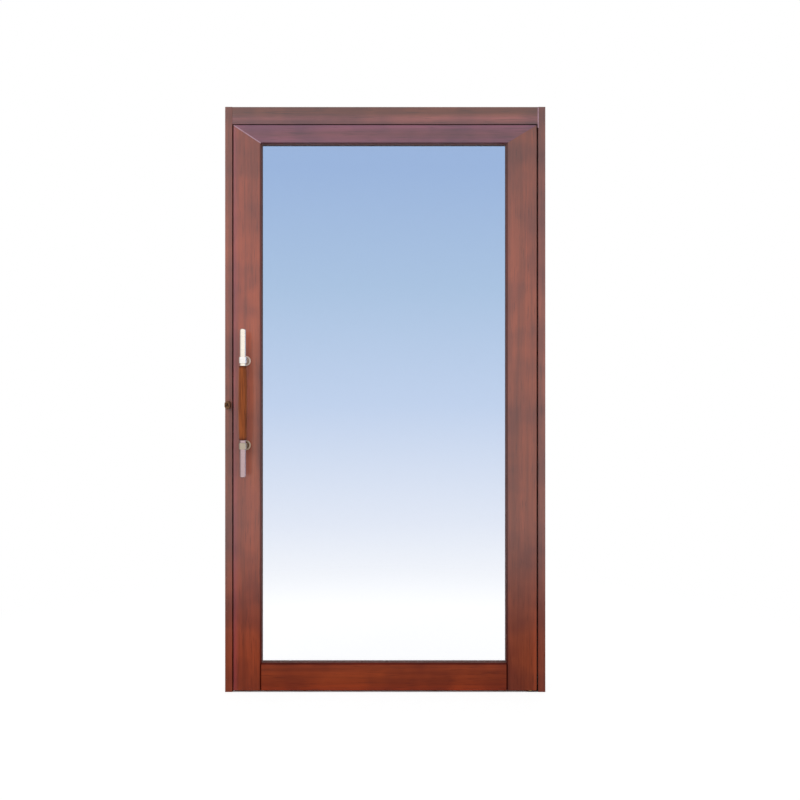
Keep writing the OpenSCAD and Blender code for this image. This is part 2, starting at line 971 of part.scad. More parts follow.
// Dowels square across a mitre that runs from a corner of the leaf to a corner of the opening
module mitre_set(corner_x, edge_x, slack) {
    lean = atan2(top_rail_w, corner_x - edge_x);
    for (along = key_along)
        translate([
            corner_x + (edge_x - corner_x) * along, leaf_mid_y, leaf_top - top_rail_w * along
        ])
            rotate([0, -lean, 0])
                cylinder(h = mitre_key_l + 2 * slack, r = dowel_r - 1 + slack, center = true);
}

module key_set(slack = 0) {
    mitre_set(-leaf_x, lock_edge, slack);
    mitre_set(leaf_x, hinge_edge, slack);
}

module at_handle_bolts() {
    for (z = [lower_standoff_z, upper_standoff_z])
        translate([handle_x, leaf_back, z])
            rotate([90, 0, 0])
                children();
}

module handle_bolt_holes() {
    at_handle_bolts()
        translate([0, 0, -past])
            cylinder(h = leaf_t + 2 * past, r = bolt_r + fixed_slack);
}

module at_strike_screws() {
    for (side = [-1, 1])
        translate([-leaf_x, bolt_mid_y, bolt_mid_z + side * (strike_l / 2 - strike_edge)])
            rotate([0, -90, 0])
                children();
}

module strike_blank(extra = 0) {
    block(
        [-leaf_x - extra, bolt_mid_y - strike_w / 2, bolt_mid_z - strike_l / 2],
        [-leaf_x + faceplate_t, bolt_mid_y + strike_w / 2, bolt_mid_z + strike_l / 2]
    );
}

module lock_stile() {
    front = [
        [-leaf_x, leaf_bottom], [lock_edge, leaf_bottom], [lock_edge, rail_edge], [-leaf_x, leaf_top]
    ];
    color(mahogany)
        difference() {
            intersection() {
                upright(leaf_plan, leaf_bottom, leaf_top);
                deep(front, leaf_front - past, leaf_back + past);
            }
            upright(from_upright(bevel_cut(bevel_w), lock_edge, -1), leaf_bottom - past, leaf_top);
            upright(from_upright(rebate_cut, lock_edge, -1), sill_edge - rebate, leaf_top);
            brush_groove();
            bead_screw_holes();
            dowel_set(fixed_slack);
            key_set(fixed_slack);
            handle_bolt_holes();
            strike_blank(past);
            bolt_way(-leaf_x - past, -leaf_x + strike_deep, strike_slack);
            at_strike_screws()
                screw(fitting_screw_r, fitting_screw_l, fixed_slack);
        }
}

module hinge_stile() {
    front = [
        [leaf_x, leaf_bottom], [hinge_edge, leaf_bottom], [hinge_edge, rail_edge], [leaf_x, leaf_top]
    ];
    color(mahogany)
        difference() {
            intersection() {
                upright(leaf_plan, leaf_bottom, leaf_top);
                deep(front, leaf_front - past, leaf_back + past);
            }
            upright(from_upright(bevel_cut(hinge_bevel_w), hinge_edge, 1), leaf_bottom - past, leaf_top);
            upright(from_upright(rebate_cut, hinge_edge, 1), sill_edge - rebate, leaf_top);
            brush_groove();
            bead_screw_holes();
            dowel_set(fixed_slack);
            key_set(fixed_slack);
            pivot_bores();
        }
}

module top_rail() {
    front = [
        [-leaf_x, leaf_top], [leaf_x, leaf_top], [hinge_edge, rail_edge], [lock_edge, rail_edge]
    ];
    section = eased(
        [[leaf_front, rail_edge], [leaf_front, leaf_top], [leaf_back, leaf_top], [leaf_back, rail_edge]],
        [0, arris_r, arris_r, 0]
    );
    color(mahogany)
        difference() {
            intersection() {
                upright(leaf_plan, rail_edge, leaf_top);
                deep(front, leaf_front - past, leaf_back + past);
                level(section, -leaf_x - past, leaf_x + past);
            }
            level(from_level(bevel_cut(rail_bevel_w), rail_edge, 1), -leaf_x, leaf_x);
            level(from_level(rebate_cut, rail_edge, 1), -leaf_x, leaf_x);
            bead_screw_holes();
            key_set(fixed_slack);
            pivot_bores();
        }
}

module bottom_rail() {
    color(mahogany)
        difference() {
            block([lock_edge, leaf_front, leaf_bottom], [hinge_edge, leaf_back, sill_edge]);
            level(from_level(bevel_cut(bevel_w), sill_edge, -1), lock_edge - past, hinge_edge + past);
            level(from_level(rebate_cut, sill_edge, -1), lock_edge - past, hinge_edge + past);
            brush_groove();
            bead_screw_holes();
            dowel_set(fixed_slack);
        }
}

module rail_dowels() {
    color("burlywood")
        dowel_set();
}

module mitre_keys() {
    color("burlywood")
        key_set();
}

// Glazing

module glass() {
    color("lightsteelblue", 0.5)
        block(
            [lock_edge - glass_bite, glass_front, sill_edge - glass_bite],
            [hinge_edge + glass_bite, glass_back, rail_edge + glass_bite]
        );
}

// Front view of one side of a strip round the opening, cut square to its corners by 45 degrees
function strip_front(side) =
    let (
        out = rebate + past, in = gasket_show + past,
        x0 = lock_edge, x1 = hinge_edge, z0 = sill_edge, z1 = rail_edge,
        outer = [[x0 - out, z0 - out], [x1 + out, z0 - out], [x1 + out, z1 + out], [x0 - out, z1 + out]],
        inner = [[x0 + in, z0 + in], [x1 - in, z0 + in], [x1 - in, z1 - in], [x0 + in, z1 - in]],
        next = (side + 1) % 4
    )
    [outer[side], outer[next], inner[next], inner[side]];

// One mitred side of a strip, bottom 0, hinge 1, top 2, lock 3
module strip(outline, side) {
    intersection() {
        deep(strip_front(side), leaf_front, leaf_back + past);
        if (side % 2 == 0)
            level(
                from_level(outline, side == 0 ? sill_edge : rail_edge, side == 0 ? -1 : 1),
                lock_edge - rebate - past, hinge_edge + rebate + past
            );
        else
            upright(
                from_upright(outline, side == 1 ? hinge_edge : lock_edge, side == 1 ? 1 : -1),
                sill_edge - rebate - past, rail_edge + rebate + past
            );
    }
}

module front_gasket() {
    outline = [
        [glass_bite, lip_y], [0, lip_y], [0, glass_front - gasket_rise],
        [-gasket_show, glass_front - gasket_rim], [-gasket_show, glass_front], [glass_bite, glass_front]
    ];
    color("black")
        for (side = [0 : 3])
            strip(outline, side);
}

module rear_gasket() {
    outline = [
        [glass_bite, glass_back], [-rear_gasket_show, glass_back],
        [-rear_gasket_show, bead_y], [glass_bite, bead_y]
    ];
    color("black")
        for (side = [0 : 3])
            strip(outline, side);
}

// Glazing bead with its inner edge rounded
module bead(side) {
    outline = eased(
        [[rebate, bead_y], [0, bead_y], [0, leaf_back], [rebate, leaf_back]],
        [0, 0, bead_r, 0]
    );
    color(mahogany)
        difference() {
            strip(outline, side);
            bead_screw_holes();
        }
}

module bead_bottom() {
    bead(0);
}

module bead_hinge_side() {
    bead(1);
}

module bead_top() {
    bead(2);
}

module bead_lock_side() {
    bead(3);
}

module bead_screws() {
    color(steel)
        at_bead_screws()
            socket_screw(bead_screw_r, bead_screw_l);
}

module setting_blocks() {
    middle = (lock_edge + hinge_edge) / 2;
    color("black")
        for (side = [-1, 1])
            translate([middle + side * (hinge_edge - lock_edge) / 4, 0, 0])
                block(
                    [-block_l / 2, glass_front, sill_edge - rebate],
                    [block_l / 2, glass_back, sill_edge - glass_bite]
                );
}

// Fittings on the leaf

module strike_plate() {
    color(steel)
        difference() {
            strike_blank();
            bolt_way(-leaf_x - past, -leaf_x + faceplate_t + past, strike_slack);
            at_strike_screws()
                screw(fitting_screw_r, fitting_screw_l, fixed_slack);
        }
}

module strike_screws() {
    color(steel)
        at_strike_screws()
            socket_screw(fitting_screw_r, fitting_screw_l);
}

function prong_z(side) = contact_z + side * prong_pitch / 2;

module contact_socket() {
    half_w = prong_t / 2 + prong_slack;
    half_h = prong_w / 2 + prong_slack;
    color("dimgray")
        difference() {
            block(
                [-stop_x - stop_w + contact_rim, stop_y, contact_z - contact_h / 2],
                [-stop_x, stop_y + contact_deep, contact_z + contact_h / 2]
            );
            for (side = [-1, 1])
                block(
                    [contact_x - half_w, stop_y - past, prong_z(side) - half_h],
                    [contact_x + half_w, stop_y + slot_deep - contact_rim, prong_z(side) + half_h]
                );
        }
}

module contact_block() {
    color("dimgray")
        block(
            [contact_x - contact_block_half_w, leaf_back, contact_z - contact_block_h / 2],
            [contact_x + contact_block_half_w, leaf_back + contact_block_t, contact_z + contact_block_h / 2]
        );
}

module contact_prongs() {
    root = leaf_back + contact_block_t;
    color("goldenrod")
        for (side = [-1, 1])
            block(
                [contact_x - prong_t / 2, root, prong_z(side) - prong_w / 2],
                [contact_x + prong_t / 2, root + prong_l, prong_z(side) + prong_w / 2]
            );
}

module brush_holder() {
    color(steel)
        difference() {
            intersection() {
                brush_groove();
                block([-leaf_x, leaf_front, leaf_bottom], [leaf_x, leaf_back, leaf_bottom + holder_h]);
            }
            block(
                [-leaf_x, leaf_mid_y - brush_w / 2, leaf_bottom - past],
                [leaf_x, leaf_mid_y + brush_w / 2, leaf_bottom + holder_h - holder_wall]
            );
        }
}

module bottom_brush() {
    color("black")
        block(
            [-leaf_x + brush_lock_end, leaf_mid_y - brush_w / 2, brush_clear],
            [leaf_x - brush_hinge_end, leaf_mid_y + brush_w / 2, leaf_bottom + holder_h - holder_wall]
        );
}

// Handle

module at_handle(z) {
    translate([handle_x, handle_y, z])
        children();
}

module handle_tube() {
    color(steel)
        at_handle(handle_z - tube_half_l)
            difference() {
                cylinder(h = 2 * tube_half_l, r = tube_r);
                translate([0, 0, -past])
                    cylinder(h = 2 * (tube_half_l + past), r = tube_r - tube_wall);
            }
}

// Barrel-shaped sleeve, slimmer at its rounded ends
module handle_grip() {
    bore = tube_r + fixed_slack;
    half = grip_l / 2;
    side = [for (i = [0 : grip_steps]) let (t = 2 * i / grip_steps - 1)
        [grip_r - grip_crown * t * t, t * (half - grip_end_r)]];
    end_r = grip_r - grip_crown - grip_end_r;
    color("saddlebrown")
        at_handle(handle_z)
            rotate_extrude()
                polygon([[bore, -half], [end_r, -half], each side, [end_r, half], [bore, half]]);
}

// Domed end cap with a spigot in the tube
module cap() {
    spigot_r = tube_r - tube_wall - fixed_slack;
    dome = [
        for (i = [0 : grip_steps / 2])
            let (a = 180 * i / grip_steps)
                [tube_r * cos(a), cap_h * sin(a)]
    ];
    rotate_extrude()
        polygon([[0, -spigot_l], [spigot_r, -spigot_l], [spigot_r, 0], each dome]);
}

module upper_cap() {
    color(steel)
        at_handle(handle_z + tube_half_l)
            cap();
}

module lower_cap() {
    color(steel)
        at_handle(handle_z - tube_half_l)
            rotate([180, 0, 0])
                cap();
}

// Collar round the tube on a post that stands on the leaf's face
module standoff(z) {
    post_l = handle_out - rosette_t;
    color(steel)
        at_handle(z)
            difference() {
                union() {
                    cylinder(h = collar_h, r = tube_r + fixed_slack + collar_wall, center = true);
                    rotate([-90, 0, 0])
                        cylinder(h = post_l, r = post_r);
                }
                cylinder(h = collar_h + 2 * past, r = tube_r + fixed_slack, center = true);
                translate([0, post_l + past, 0])
                    rotate([90, 0, 0])
                        cylinder(h = bolt_reach + past + fixed_slack, r = bolt_r + fixed_slack);
            }
}

module upper_standoff() {
    standoff(upper_standoff_z);
}

module lower_standoff() {
    standoff(lower_standoff_z);
}

// Rounded disc under a post
module rosette(z) {
    bore = bolt_r + fixed_slack;
    crown = [for (i = [0 : ease_steps]) let (a = 90 * i / ease_steps)
        [post_r + 2 + (rosette_r - post_r - 2) * cos(a), rosette_rim + (rosette_t - rosette_rim) * sin(a)]];
    color(steel)
        translate([handle_x, leaf_front, z])
            rotate([90, 0, 0])
                rotate_extrude()
                    polygon([[bore, 0], [rosette_r, 0], each crown, [bore, rosette_t]]);
}

module upper_rosette() {
    rosette(upper_standoff_z);
}

module lower_rosette() {
    rosette(lower_standoff_z);
}

// Bolts from the leaf's back into the posts, with domed heads
module handle_bolts() {
    shank = leaf_t + rosette_t + bolt_reach;
    dome = [
        for (i = [0 : ease_steps])
            let (a = 90 * i / ease_steps)
                [bolt_head_r * cos(a), -bolt_head_t * sin(a)]
    ];
    color(steel)
        at_handle_bolts()
            rotate_extrude()
                polygon([[0, shank], [bolt_r, shank], [bolt_r, 0], each dome]);
}

lock_jamb();
hinge_jamb();
head();
threshold();
corner_screws();
lock_jamb_seal();
head_seal();
top_pivot_plate();
top_pivot_pin();
top_pivot_screws();
bottom_pivot_bracket();
bottom_pivot_pin();
bottom_pivot_screws();
thrust_washer();
lock_case();
lock_faceplate();
faceplate_screws();
key_escutcheon();
contact_socket();
key_plug();
lock_bolt();
lock_stile();
hinge_stile();
top_rail();
bottom_rail();
rail_dowels();
mitre_keys();
glass();
front_gasket();
rear_gasket();
bead_top();
bead_bottom();
bead_lock_side();
bead_hinge_side();
bead_screws();
setting_blocks();
top_pivot_bush();
bottom_pivot_bush();
closer_barrel();
strike_plate();
strike_screws();
contact_block();
contact_prongs();
brush_holder();
bottom_brush();
handle_tube();
handle_grip();
upper_cap();
lower_cap();
upper_standoff();
lower_standoff();
upper_rosette();
lower_rosette();
handle_bolts();
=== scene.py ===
import json
import math

import bmesh
import bpy
import numpy as np
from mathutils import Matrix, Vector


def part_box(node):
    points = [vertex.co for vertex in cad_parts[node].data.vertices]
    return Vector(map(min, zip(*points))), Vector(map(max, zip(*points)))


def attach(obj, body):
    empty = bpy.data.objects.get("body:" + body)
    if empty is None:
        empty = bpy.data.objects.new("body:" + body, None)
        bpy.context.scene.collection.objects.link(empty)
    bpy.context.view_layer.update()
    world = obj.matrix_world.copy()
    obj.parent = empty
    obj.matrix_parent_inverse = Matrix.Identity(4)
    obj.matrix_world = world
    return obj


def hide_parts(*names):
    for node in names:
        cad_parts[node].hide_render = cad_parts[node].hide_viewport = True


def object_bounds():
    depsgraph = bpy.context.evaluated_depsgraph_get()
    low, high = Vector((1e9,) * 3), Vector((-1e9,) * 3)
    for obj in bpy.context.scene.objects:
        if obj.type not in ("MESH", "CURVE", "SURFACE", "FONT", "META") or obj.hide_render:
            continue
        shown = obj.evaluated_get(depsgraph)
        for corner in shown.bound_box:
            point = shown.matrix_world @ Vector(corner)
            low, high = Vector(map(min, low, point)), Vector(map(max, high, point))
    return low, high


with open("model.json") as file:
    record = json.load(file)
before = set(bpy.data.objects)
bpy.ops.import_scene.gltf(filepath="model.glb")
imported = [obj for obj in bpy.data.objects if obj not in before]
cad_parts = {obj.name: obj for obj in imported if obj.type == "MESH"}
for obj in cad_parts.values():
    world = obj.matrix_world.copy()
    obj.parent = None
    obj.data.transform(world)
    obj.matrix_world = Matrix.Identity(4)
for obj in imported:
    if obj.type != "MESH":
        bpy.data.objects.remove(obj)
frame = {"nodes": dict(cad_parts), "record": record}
nodes = frame["nodes"]
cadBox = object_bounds()
print("frame loaded:", len(nodes), "nodes")


# Colours and nodes

def linear(hexColour):  # sRGB hex to linear RGBA
    srgb = np.array([int(hexColour[i:i + 2], 16) for i in (0, 2, 4)]) / 255
    rgb = np.where(srgb <= 0.04045, srgb / 12.92, ((srgb + 0.055) / 1.055) ** 2.4)
    return (*rgb.tolist(), 1.0)


def addNode(tree, kind, props=None, inputs=None, links=None, stops=None):
    # one node with its properties, socket values, incoming links and ramp stops
    node = tree.nodes.new("ShaderNode" + kind)
    for name, value in (props or {}).items():
        setattr(node, name, value)
    for name, value in (inputs or {}).items():
        node.inputs[name].default_value = value
    for name, (source, output) in (links or {}).items():
        tree.links.new(source.outputs[output], node.inputs[name])
    for i, (place, hexColour) in enumerate(stops or []):
        elements = node.color_ramp.elements
        element = elements[i] if i < 2 else elements.new(place)
        element.position = place
        element.color = linear(hexColour)
    return node


def newMaterial(name):  # an empty material with its output and object coordinates in metres
    material = bpy.data.materials.new(name)
    material.use_nodes = True
    tree = material.node_tree
    tree.nodes.clear()
    output = addNode(tree, "OutputMaterial")
    place = addNode(tree, "TexCoord")
    return material, tree, output, place


def perMetre(millimetres):  # texture scale for a feature of that size
    return 1000 / millimetres


def stretched(tree, place, sizesMm, shift=0.0):  # coordinates for marks of those sizes along X, Y and Z
    return addNode(tree, "Mapping", inputs={
        "Location": (shift, shift, shift),
        "Scale": tuple(perMetre(size) for size in sizesMm),
    }, links={"Vector": (place, "Object")})


def noise(tree, vector, detail, roughness=0.5, distortion=0.0):
    return addNode(tree, "TexNoise", inputs={
        "Scale": 1.0, "Detail": detail, "Roughness": roughness, "Distortion": distortion,
    }, links={"Vector": (vector, "Vector")})


def splitAxes(tree, place):
    return addNode(tree, "SeparateXYZ", links={"Vector": (place, "Object")})


def share(tree, source, start, end):  # 0 where the (node, output) is at start, 1 where it is at end
    return addNode(tree, "MapRange", inputs={"From Min": start, "From Max": end},
                   links={"Value": source})


def ramp(tree, source, stops):  # colours along the values of a (node, output)
    return addNode(tree, "ValToRGB", links={"Fac": source}, stops=stops)


def multiplied(tree, colour, tint, amount=1.0):
    return addNode(tree, "MixRGB", {"blend_type": "MULTIPLY"}, {"Fac": amount},
                   {"Color1": (colour, "Color"), "Color2": (tint, "Color")})


def mathNode(tree, operation, inputs=None, links=None, clamp=False):
    return addNode(tree, "Math", {"operation": operation, "use_clamp": clamp}, inputs, links)


def surface(tree, output, inputs, links):
    shade = addNode(tree, "BsdfPrincipled", inputs=inputs, links=links)
    tree.links.new(shade.outputs["BSDF"], output.inputs["Surface"])


# Varnished mahogany: sawn and planed boards under polished clear varnish. The eye gets long ribbons of
# light and dark along each board, short dark pores, and a gloss that is worn off near the foot, with a
# pale sheen painted in where the gloss is.

mahogany = {
    "ribbonMm": 22,          # width of a ribbon
    "ribbonLengthMm": 900,
    "ribbonTones": [(0.30, "a09690"), (0.62, "ffffff")],
    "ribbonAmount": 0.55,
    "poreMm": 3,             # real pores are 0.3 mm: drawn coarser, so that they show
    "poreLengthMm": 70,
    "poreTones": [(0.28, "9a8a84"), (0.44, "ffffff")],
    "poreAmount": 0.55,
    "poreDepthMm": 0.4,
    "bloomMm": 140,          # bluish bloom in the varnish, in patches
    "bloomTones": [(0.42, "ffffff"), (0.66, "d8d0e4")],
    # uprights: darker at the foot, and greyer towards the head as a painted reflection
    "heightTones": [(0.02, "e6e6e6"), (0.40, "e6e8e8"), (0.70, "ffffff"), (0.92, "dcd8de")],
    "paintedSheen": "293638",        # pale painted sheen, added where the varnish is glossy
    "glossFrom": 0.10,       # painted sheen and gloss start here (m above the floor) and are full at glossTo
    "glossTo": 0.66,
    "glossLeast": 0.03,
    "mouldShade": "b08078",       # painted shade that takes the moulded edge down beside the glass
    "mouldMm": 12,           # width of that edge
    "mouldFade": 0.1,        # part of that width over which the painted shade comes in
    "mouldDepthsMm": (0.2, 1.5),  # behind the front face: where the painted shade starts, and where it is full
    "arrisMm": 0.5,          # softened edges
}

# Painted light beside the handle: warmer, paler tones are added across a strip that starts beside the
# tube, to lift the shade that the handle casts on the stile, and lift is how much of them shows along it
# and fadeMm past its ends
handleShadowLift = {
    "board": "lock_stile", "fromMm": -6, "widthMm": 42, "fadeMm": 80,
    "tones": [(0.0, "000000"), (0.45, "62341e"), (0.66, "62341e"), (1.0, "000000")],
    "lift": [(0.0, "000000"), (0.15, "ffffff"), (0.6, "ffffff"), (0.85, "b4b4b4"), (1.0, "000000")],
}

# Each board: grain along Z or X, a shift that gives it a figure of its own, its colours across the grain
# from its low edge (0) to its high edge (1), and the edge of it that is moulded beside the glass
boards = {
    "lock_jamb": ("Z", 0.0, [(0.0, "914529"), (1.0, "8d3c25")], None),
    "hinge_jamb": ("Z", 3.1, [(0.0, "883c27"), (1.0, "8c4633")], None),
    # head: its pale stop at 0.45 is a painted highlight along the head
    "head": ("X", 1.3, [(0.20, "6c3230"), (0.45, "8c4a46"), (0.68, "743a28"), (1.0, "6c3220")], None),
    # lock_stile: its lilac low edge is a painted reflection
    "lock_stile": ("Z", 7.7, [(0.0, "9a4142"), (0.2, "9c4225"), (1.0, "9d4221")], "high"),
    "hinge_stile": ("Z", 11.9, [(0.0, "8e4026"), (1.0, "994324")], "low"),
    # top_rail: its purple-grey tones are a painted reflection
    "top_rail": ("X", 5.2, [(0.0, "783a50"), (0.5, "7c3b45"), (1.0, "7a3b52")], "low"),
    "bottom_rail": ("X", 9.4, [(0.0, "883112"), (0.5, "8c3816"), (1.0, "87371a")], "high"),
    "bead_lock_side": ("Z", 13.3, [(0.0, "742e18"), (1.0, "7c321a")], None),
    "bead_hinge_side": ("Z", 15.1, [(0.0, "7c321a"), (1.0, "742e18")], None),
    "bead_top": ("X", 17.9, [(0.0, "742e18"), (1.0, "7c321a")], None),
    "bead_bottom": ("X", 19.3, [(0.0, "7c321a"), (1.0, "742e18")], None),
}


def shadedMoulding(tree, axes, colour, board, side, moulded):
    # painted shade in the recess: the moulding lies within mouldMm of the sight edge, behind the front
    # face and in front of the glass
    low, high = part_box(board)
    sight = getattr(high if moulded == "high" else low, side)
    inner = sight + (-1 if moulded == "high" else 1) * mahogany["mouldMm"] / 1000
    full = inner + (sight - inner) * mahogany["mouldFade"]
    start, end = (low.y + depth / 1000 for depth in mahogany["mouldDepthsMm"])
    beside = share(tree, (axes, side.upper()), inner, full)
    behind = share(tree, (axes, "Y"), start, end)
    landing = mathNode(tree, "LESS_THAN", {1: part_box("glass")[0].y}, {0: (axes, "Y")})
    edge = mathNode(tree, "MULTIPLY", links={0: (beside, "Result"), 1: (behind, "Result")})
    recess = mathNode(tree, "MULTIPLY", links={0: (edge, "Value"), 1: (landing, "Value")})
    return addNode(tree, "MixRGB", {"blend_type": "MULTIPLY"}, {"Color2": linear(mahogany["mouldShade"])},
                   {"Fac": (recess, "Value"), "Color1": (colour, "Color")})


def liftedBesideHandle(tree, axes, colour):
    low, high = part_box("handle_tube")
    start, fade = high.x + handleShadowLift["fromMm"] / 1000, handleShadowLift["fadeMm"] / 1000
    aside = share(tree, (axes, "X"), start, start + handleShadowLift["widthMm"] / 1000)
    length = share(tree, (axes, "Z"), low.z - fade, high.z + fade)
    liftTones = ramp(tree, (aside, "Result"), handleShadowLift["tones"])
    liftAlong = ramp(tree, (length, "Result"), handleShadowLift["lift"])
    return addNode(tree, "MixRGB", {"blend_type": "ADD"}, links={
        "Fac": (liftAlong, "Color"), "Color1": (colour, "Color"), "Color2": (liftTones, "Color")})


def varnishedMahogany(board, grain, shift, tones, moulded):
    material, tree, output, place = newMaterial("varnished_mahogany_" + board)
    m = mahogany
    axes = splitAxes(tree, place)
    low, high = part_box(board)
    turned = grain == "X"
    side = "z" if turned else "x"  # the axis across the grain

    def grained(widthMm, lengthMm):  # coordinates stretched along the grain
        sizes = (lengthMm, widthMm, widthMm) if turned else (widthMm, widthMm, lengthMm)
        return stretched(tree, place, sizes, shift)

    ribbons = noise(tree, grained(m["ribbonMm"], m["ribbonLengthMm"]), 4.0, 0.6, 0.35)
    pores = noise(tree, grained(m["poreMm"], m["poreLengthMm"]), 2.0)
    patches = noise(tree, stretched(tree, place, [m["bloomMm"]] * 3), 2.0)
    figure = ramp(tree, (ribbons, "Fac"), m["ribbonTones"])
    bloom = ramp(tree, (patches, "Fac"), m["bloomTones"])
    specks = ramp(tree, (pores, "Fac"), m["poreTones"])
    acrossGrain = share(tree, (axes, side.upper()), getattr(low, side), getattr(high, side))
    colour = ramp(tree, (acrossGrain, "Result"), tones)
    colour = multiplied(tree, colour, figure, m["ribbonAmount"])
    colour = multiplied(tree, colour, bloom)
    colour = multiplied(tree, colour, specks, m["poreAmount"])
    if not turned:
        # greyer towards the head: painted reflection
        rise = share(tree, (axes, "Z"), 0.0, cadBox[1].z)
        colour = multiplied(tree, colour, ramp(tree, (rise, "Result"), m["heightTones"]))
    glossAndSheen = addNode(tree, "MapRange", {"interpolation_type": "SMOOTHSTEP"}, {
        "From Min": m["glossFrom"], "From Max": m["glossTo"], "To Min": m["glossLeast"], "To Max": 1.0,
    }, {"Value": (axes, "Z")})
    # painted sheen: a pale colour added where the coat is glossy
    colour = addNode(tree, "MixRGB", {"blend_type": "ADD"}, {"Color2": linear(m["paintedSheen"])},
                     {"Fac": (glossAndSheen, "Result"), "Color1": (colour, "Color")})
    # painted shade on the moulding beside the glass
    if moulded:
        colour = shadedMoulding(tree, axes, colour, board, side, moulded)
    # painted light that lifts the handle's shade on the stile
    if board == handleShadowLift["board"]:
        colour = liftedBesideHandle(tree, axes, colour)
    soft = addNode(tree, "Bevel", {"samples": 4}, {"Radius": m["arrisMm"] / 1000})
    relief = addNode(tree, "Bump", inputs={"Strength": 0.12, "Distance": m["poreDepthMm"] / 1000},
                     links={"Height": (pores, "Fac"), "Normal": (soft, "Normal")})
    surface(tree, output, {
        "Roughness": 0.42, "Specular IOR Level": 0.12, "Coat IOR": 1.45, "Coat Roughness": 0.16,
    }, {
        "Base Color": (colour, "Color"), "Coat Weight": (glossAndSheen, "Result"),
        "Normal": (relief, "Normal"), "Coat Normal": (soft, "Normal"),
    })
    return material


# Turned hardwood of the grip: fine grain along its length, oiled, and darker at its ends beside the
# collars, which is painted shade

gripWood = {
    "tones": [(0.28, "5a2a12"), (0.60, "8c4820")], "endShade": "8a6a5c", "endMm": 12,
    "grainMm": 4, "grainLengthMm": 90, "grainDepthMm": 0.3,
}


def oiledGripWood():
    material, tree, output, place = newMaterial("oiled_turned_hardwood")
    low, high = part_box("handle_grip")
    width, end = gripWood["grainMm"], gripWood["endMm"] / 1000 / (high.z - low.z)
    grain = stretched(tree, place, (width, width, gripWood["grainLengthMm"]))
    fibres = noise(tree, grain, 5.0, 0.6, 0.3)
    figure = ramp(tree, (fibres, "Fac"), gripWood["tones"])
    span = share(tree, (splitAxes(tree, place), "Z"), low.z, high.z)
    ends = ramp(tree, (span, "Result"), [(0.0, gripWood["endShade"]), (end, "ffffff"),
                                         (1 - end, "ffffff"), (1.0, gripWood["endShade"])])
    colour = multiplied(tree, figure, ends)
    relief = addNode(tree, "Bump", inputs={
        "Strength": 0.15, "Distance": gripWood["grainDepthMm"] / 1000,
    }, links={"Height": (fibres, "Fac")})
    surface(tree, output, {
        "Roughness": 0.45, "Specular IOR Level": 0.12, "Coat Weight": 0.1, "Coat Roughness": 0.2,
    }, {"Base Color": (colour, "Color"), "Normal": (relief, "Normal")})
    return material


# Laminated safety glass: float glass, flat and clear, with a blue tint painted in as the sky's reflection,
# fading out towards the foot

paintedSkyTint = [  # metres above the floor, colour that the pane lets through, painted as the sky's reflection
    (0.30, "fcfdff"), (0.60, "e1e8f6"), (1.03, "bed0ec"), (1.46, "a6c0e0"), (1.89, "96b2db"),
]


def gradedGlass():
    material, tree, output, place = newMaterial("graded_laminated_glass")
    foot, top = paintedSkyTint[0][0], paintedSkyTint[-1][0]
    span = share(tree, (splitAxes(tree, place), "Z"), foot, top)
    skyTint = ramp(tree, (span, "Result"), [((z - foot) / (top - foot), tone) for z, tone in paintedSkyTint])
    surface(tree, output, {"Roughness": 0.0, "IOR": 1.48, "Transmission Weight": 1.0},
            {"Base Color": (skyTint, "Color")})
    return material


# Metals, rubber, plastic and plain timber: one speckled or streaked colour and its own gloss.
# streakMm is the size of the marks along X, Y and Z: equal for cast or moulded grain, long for brushing.

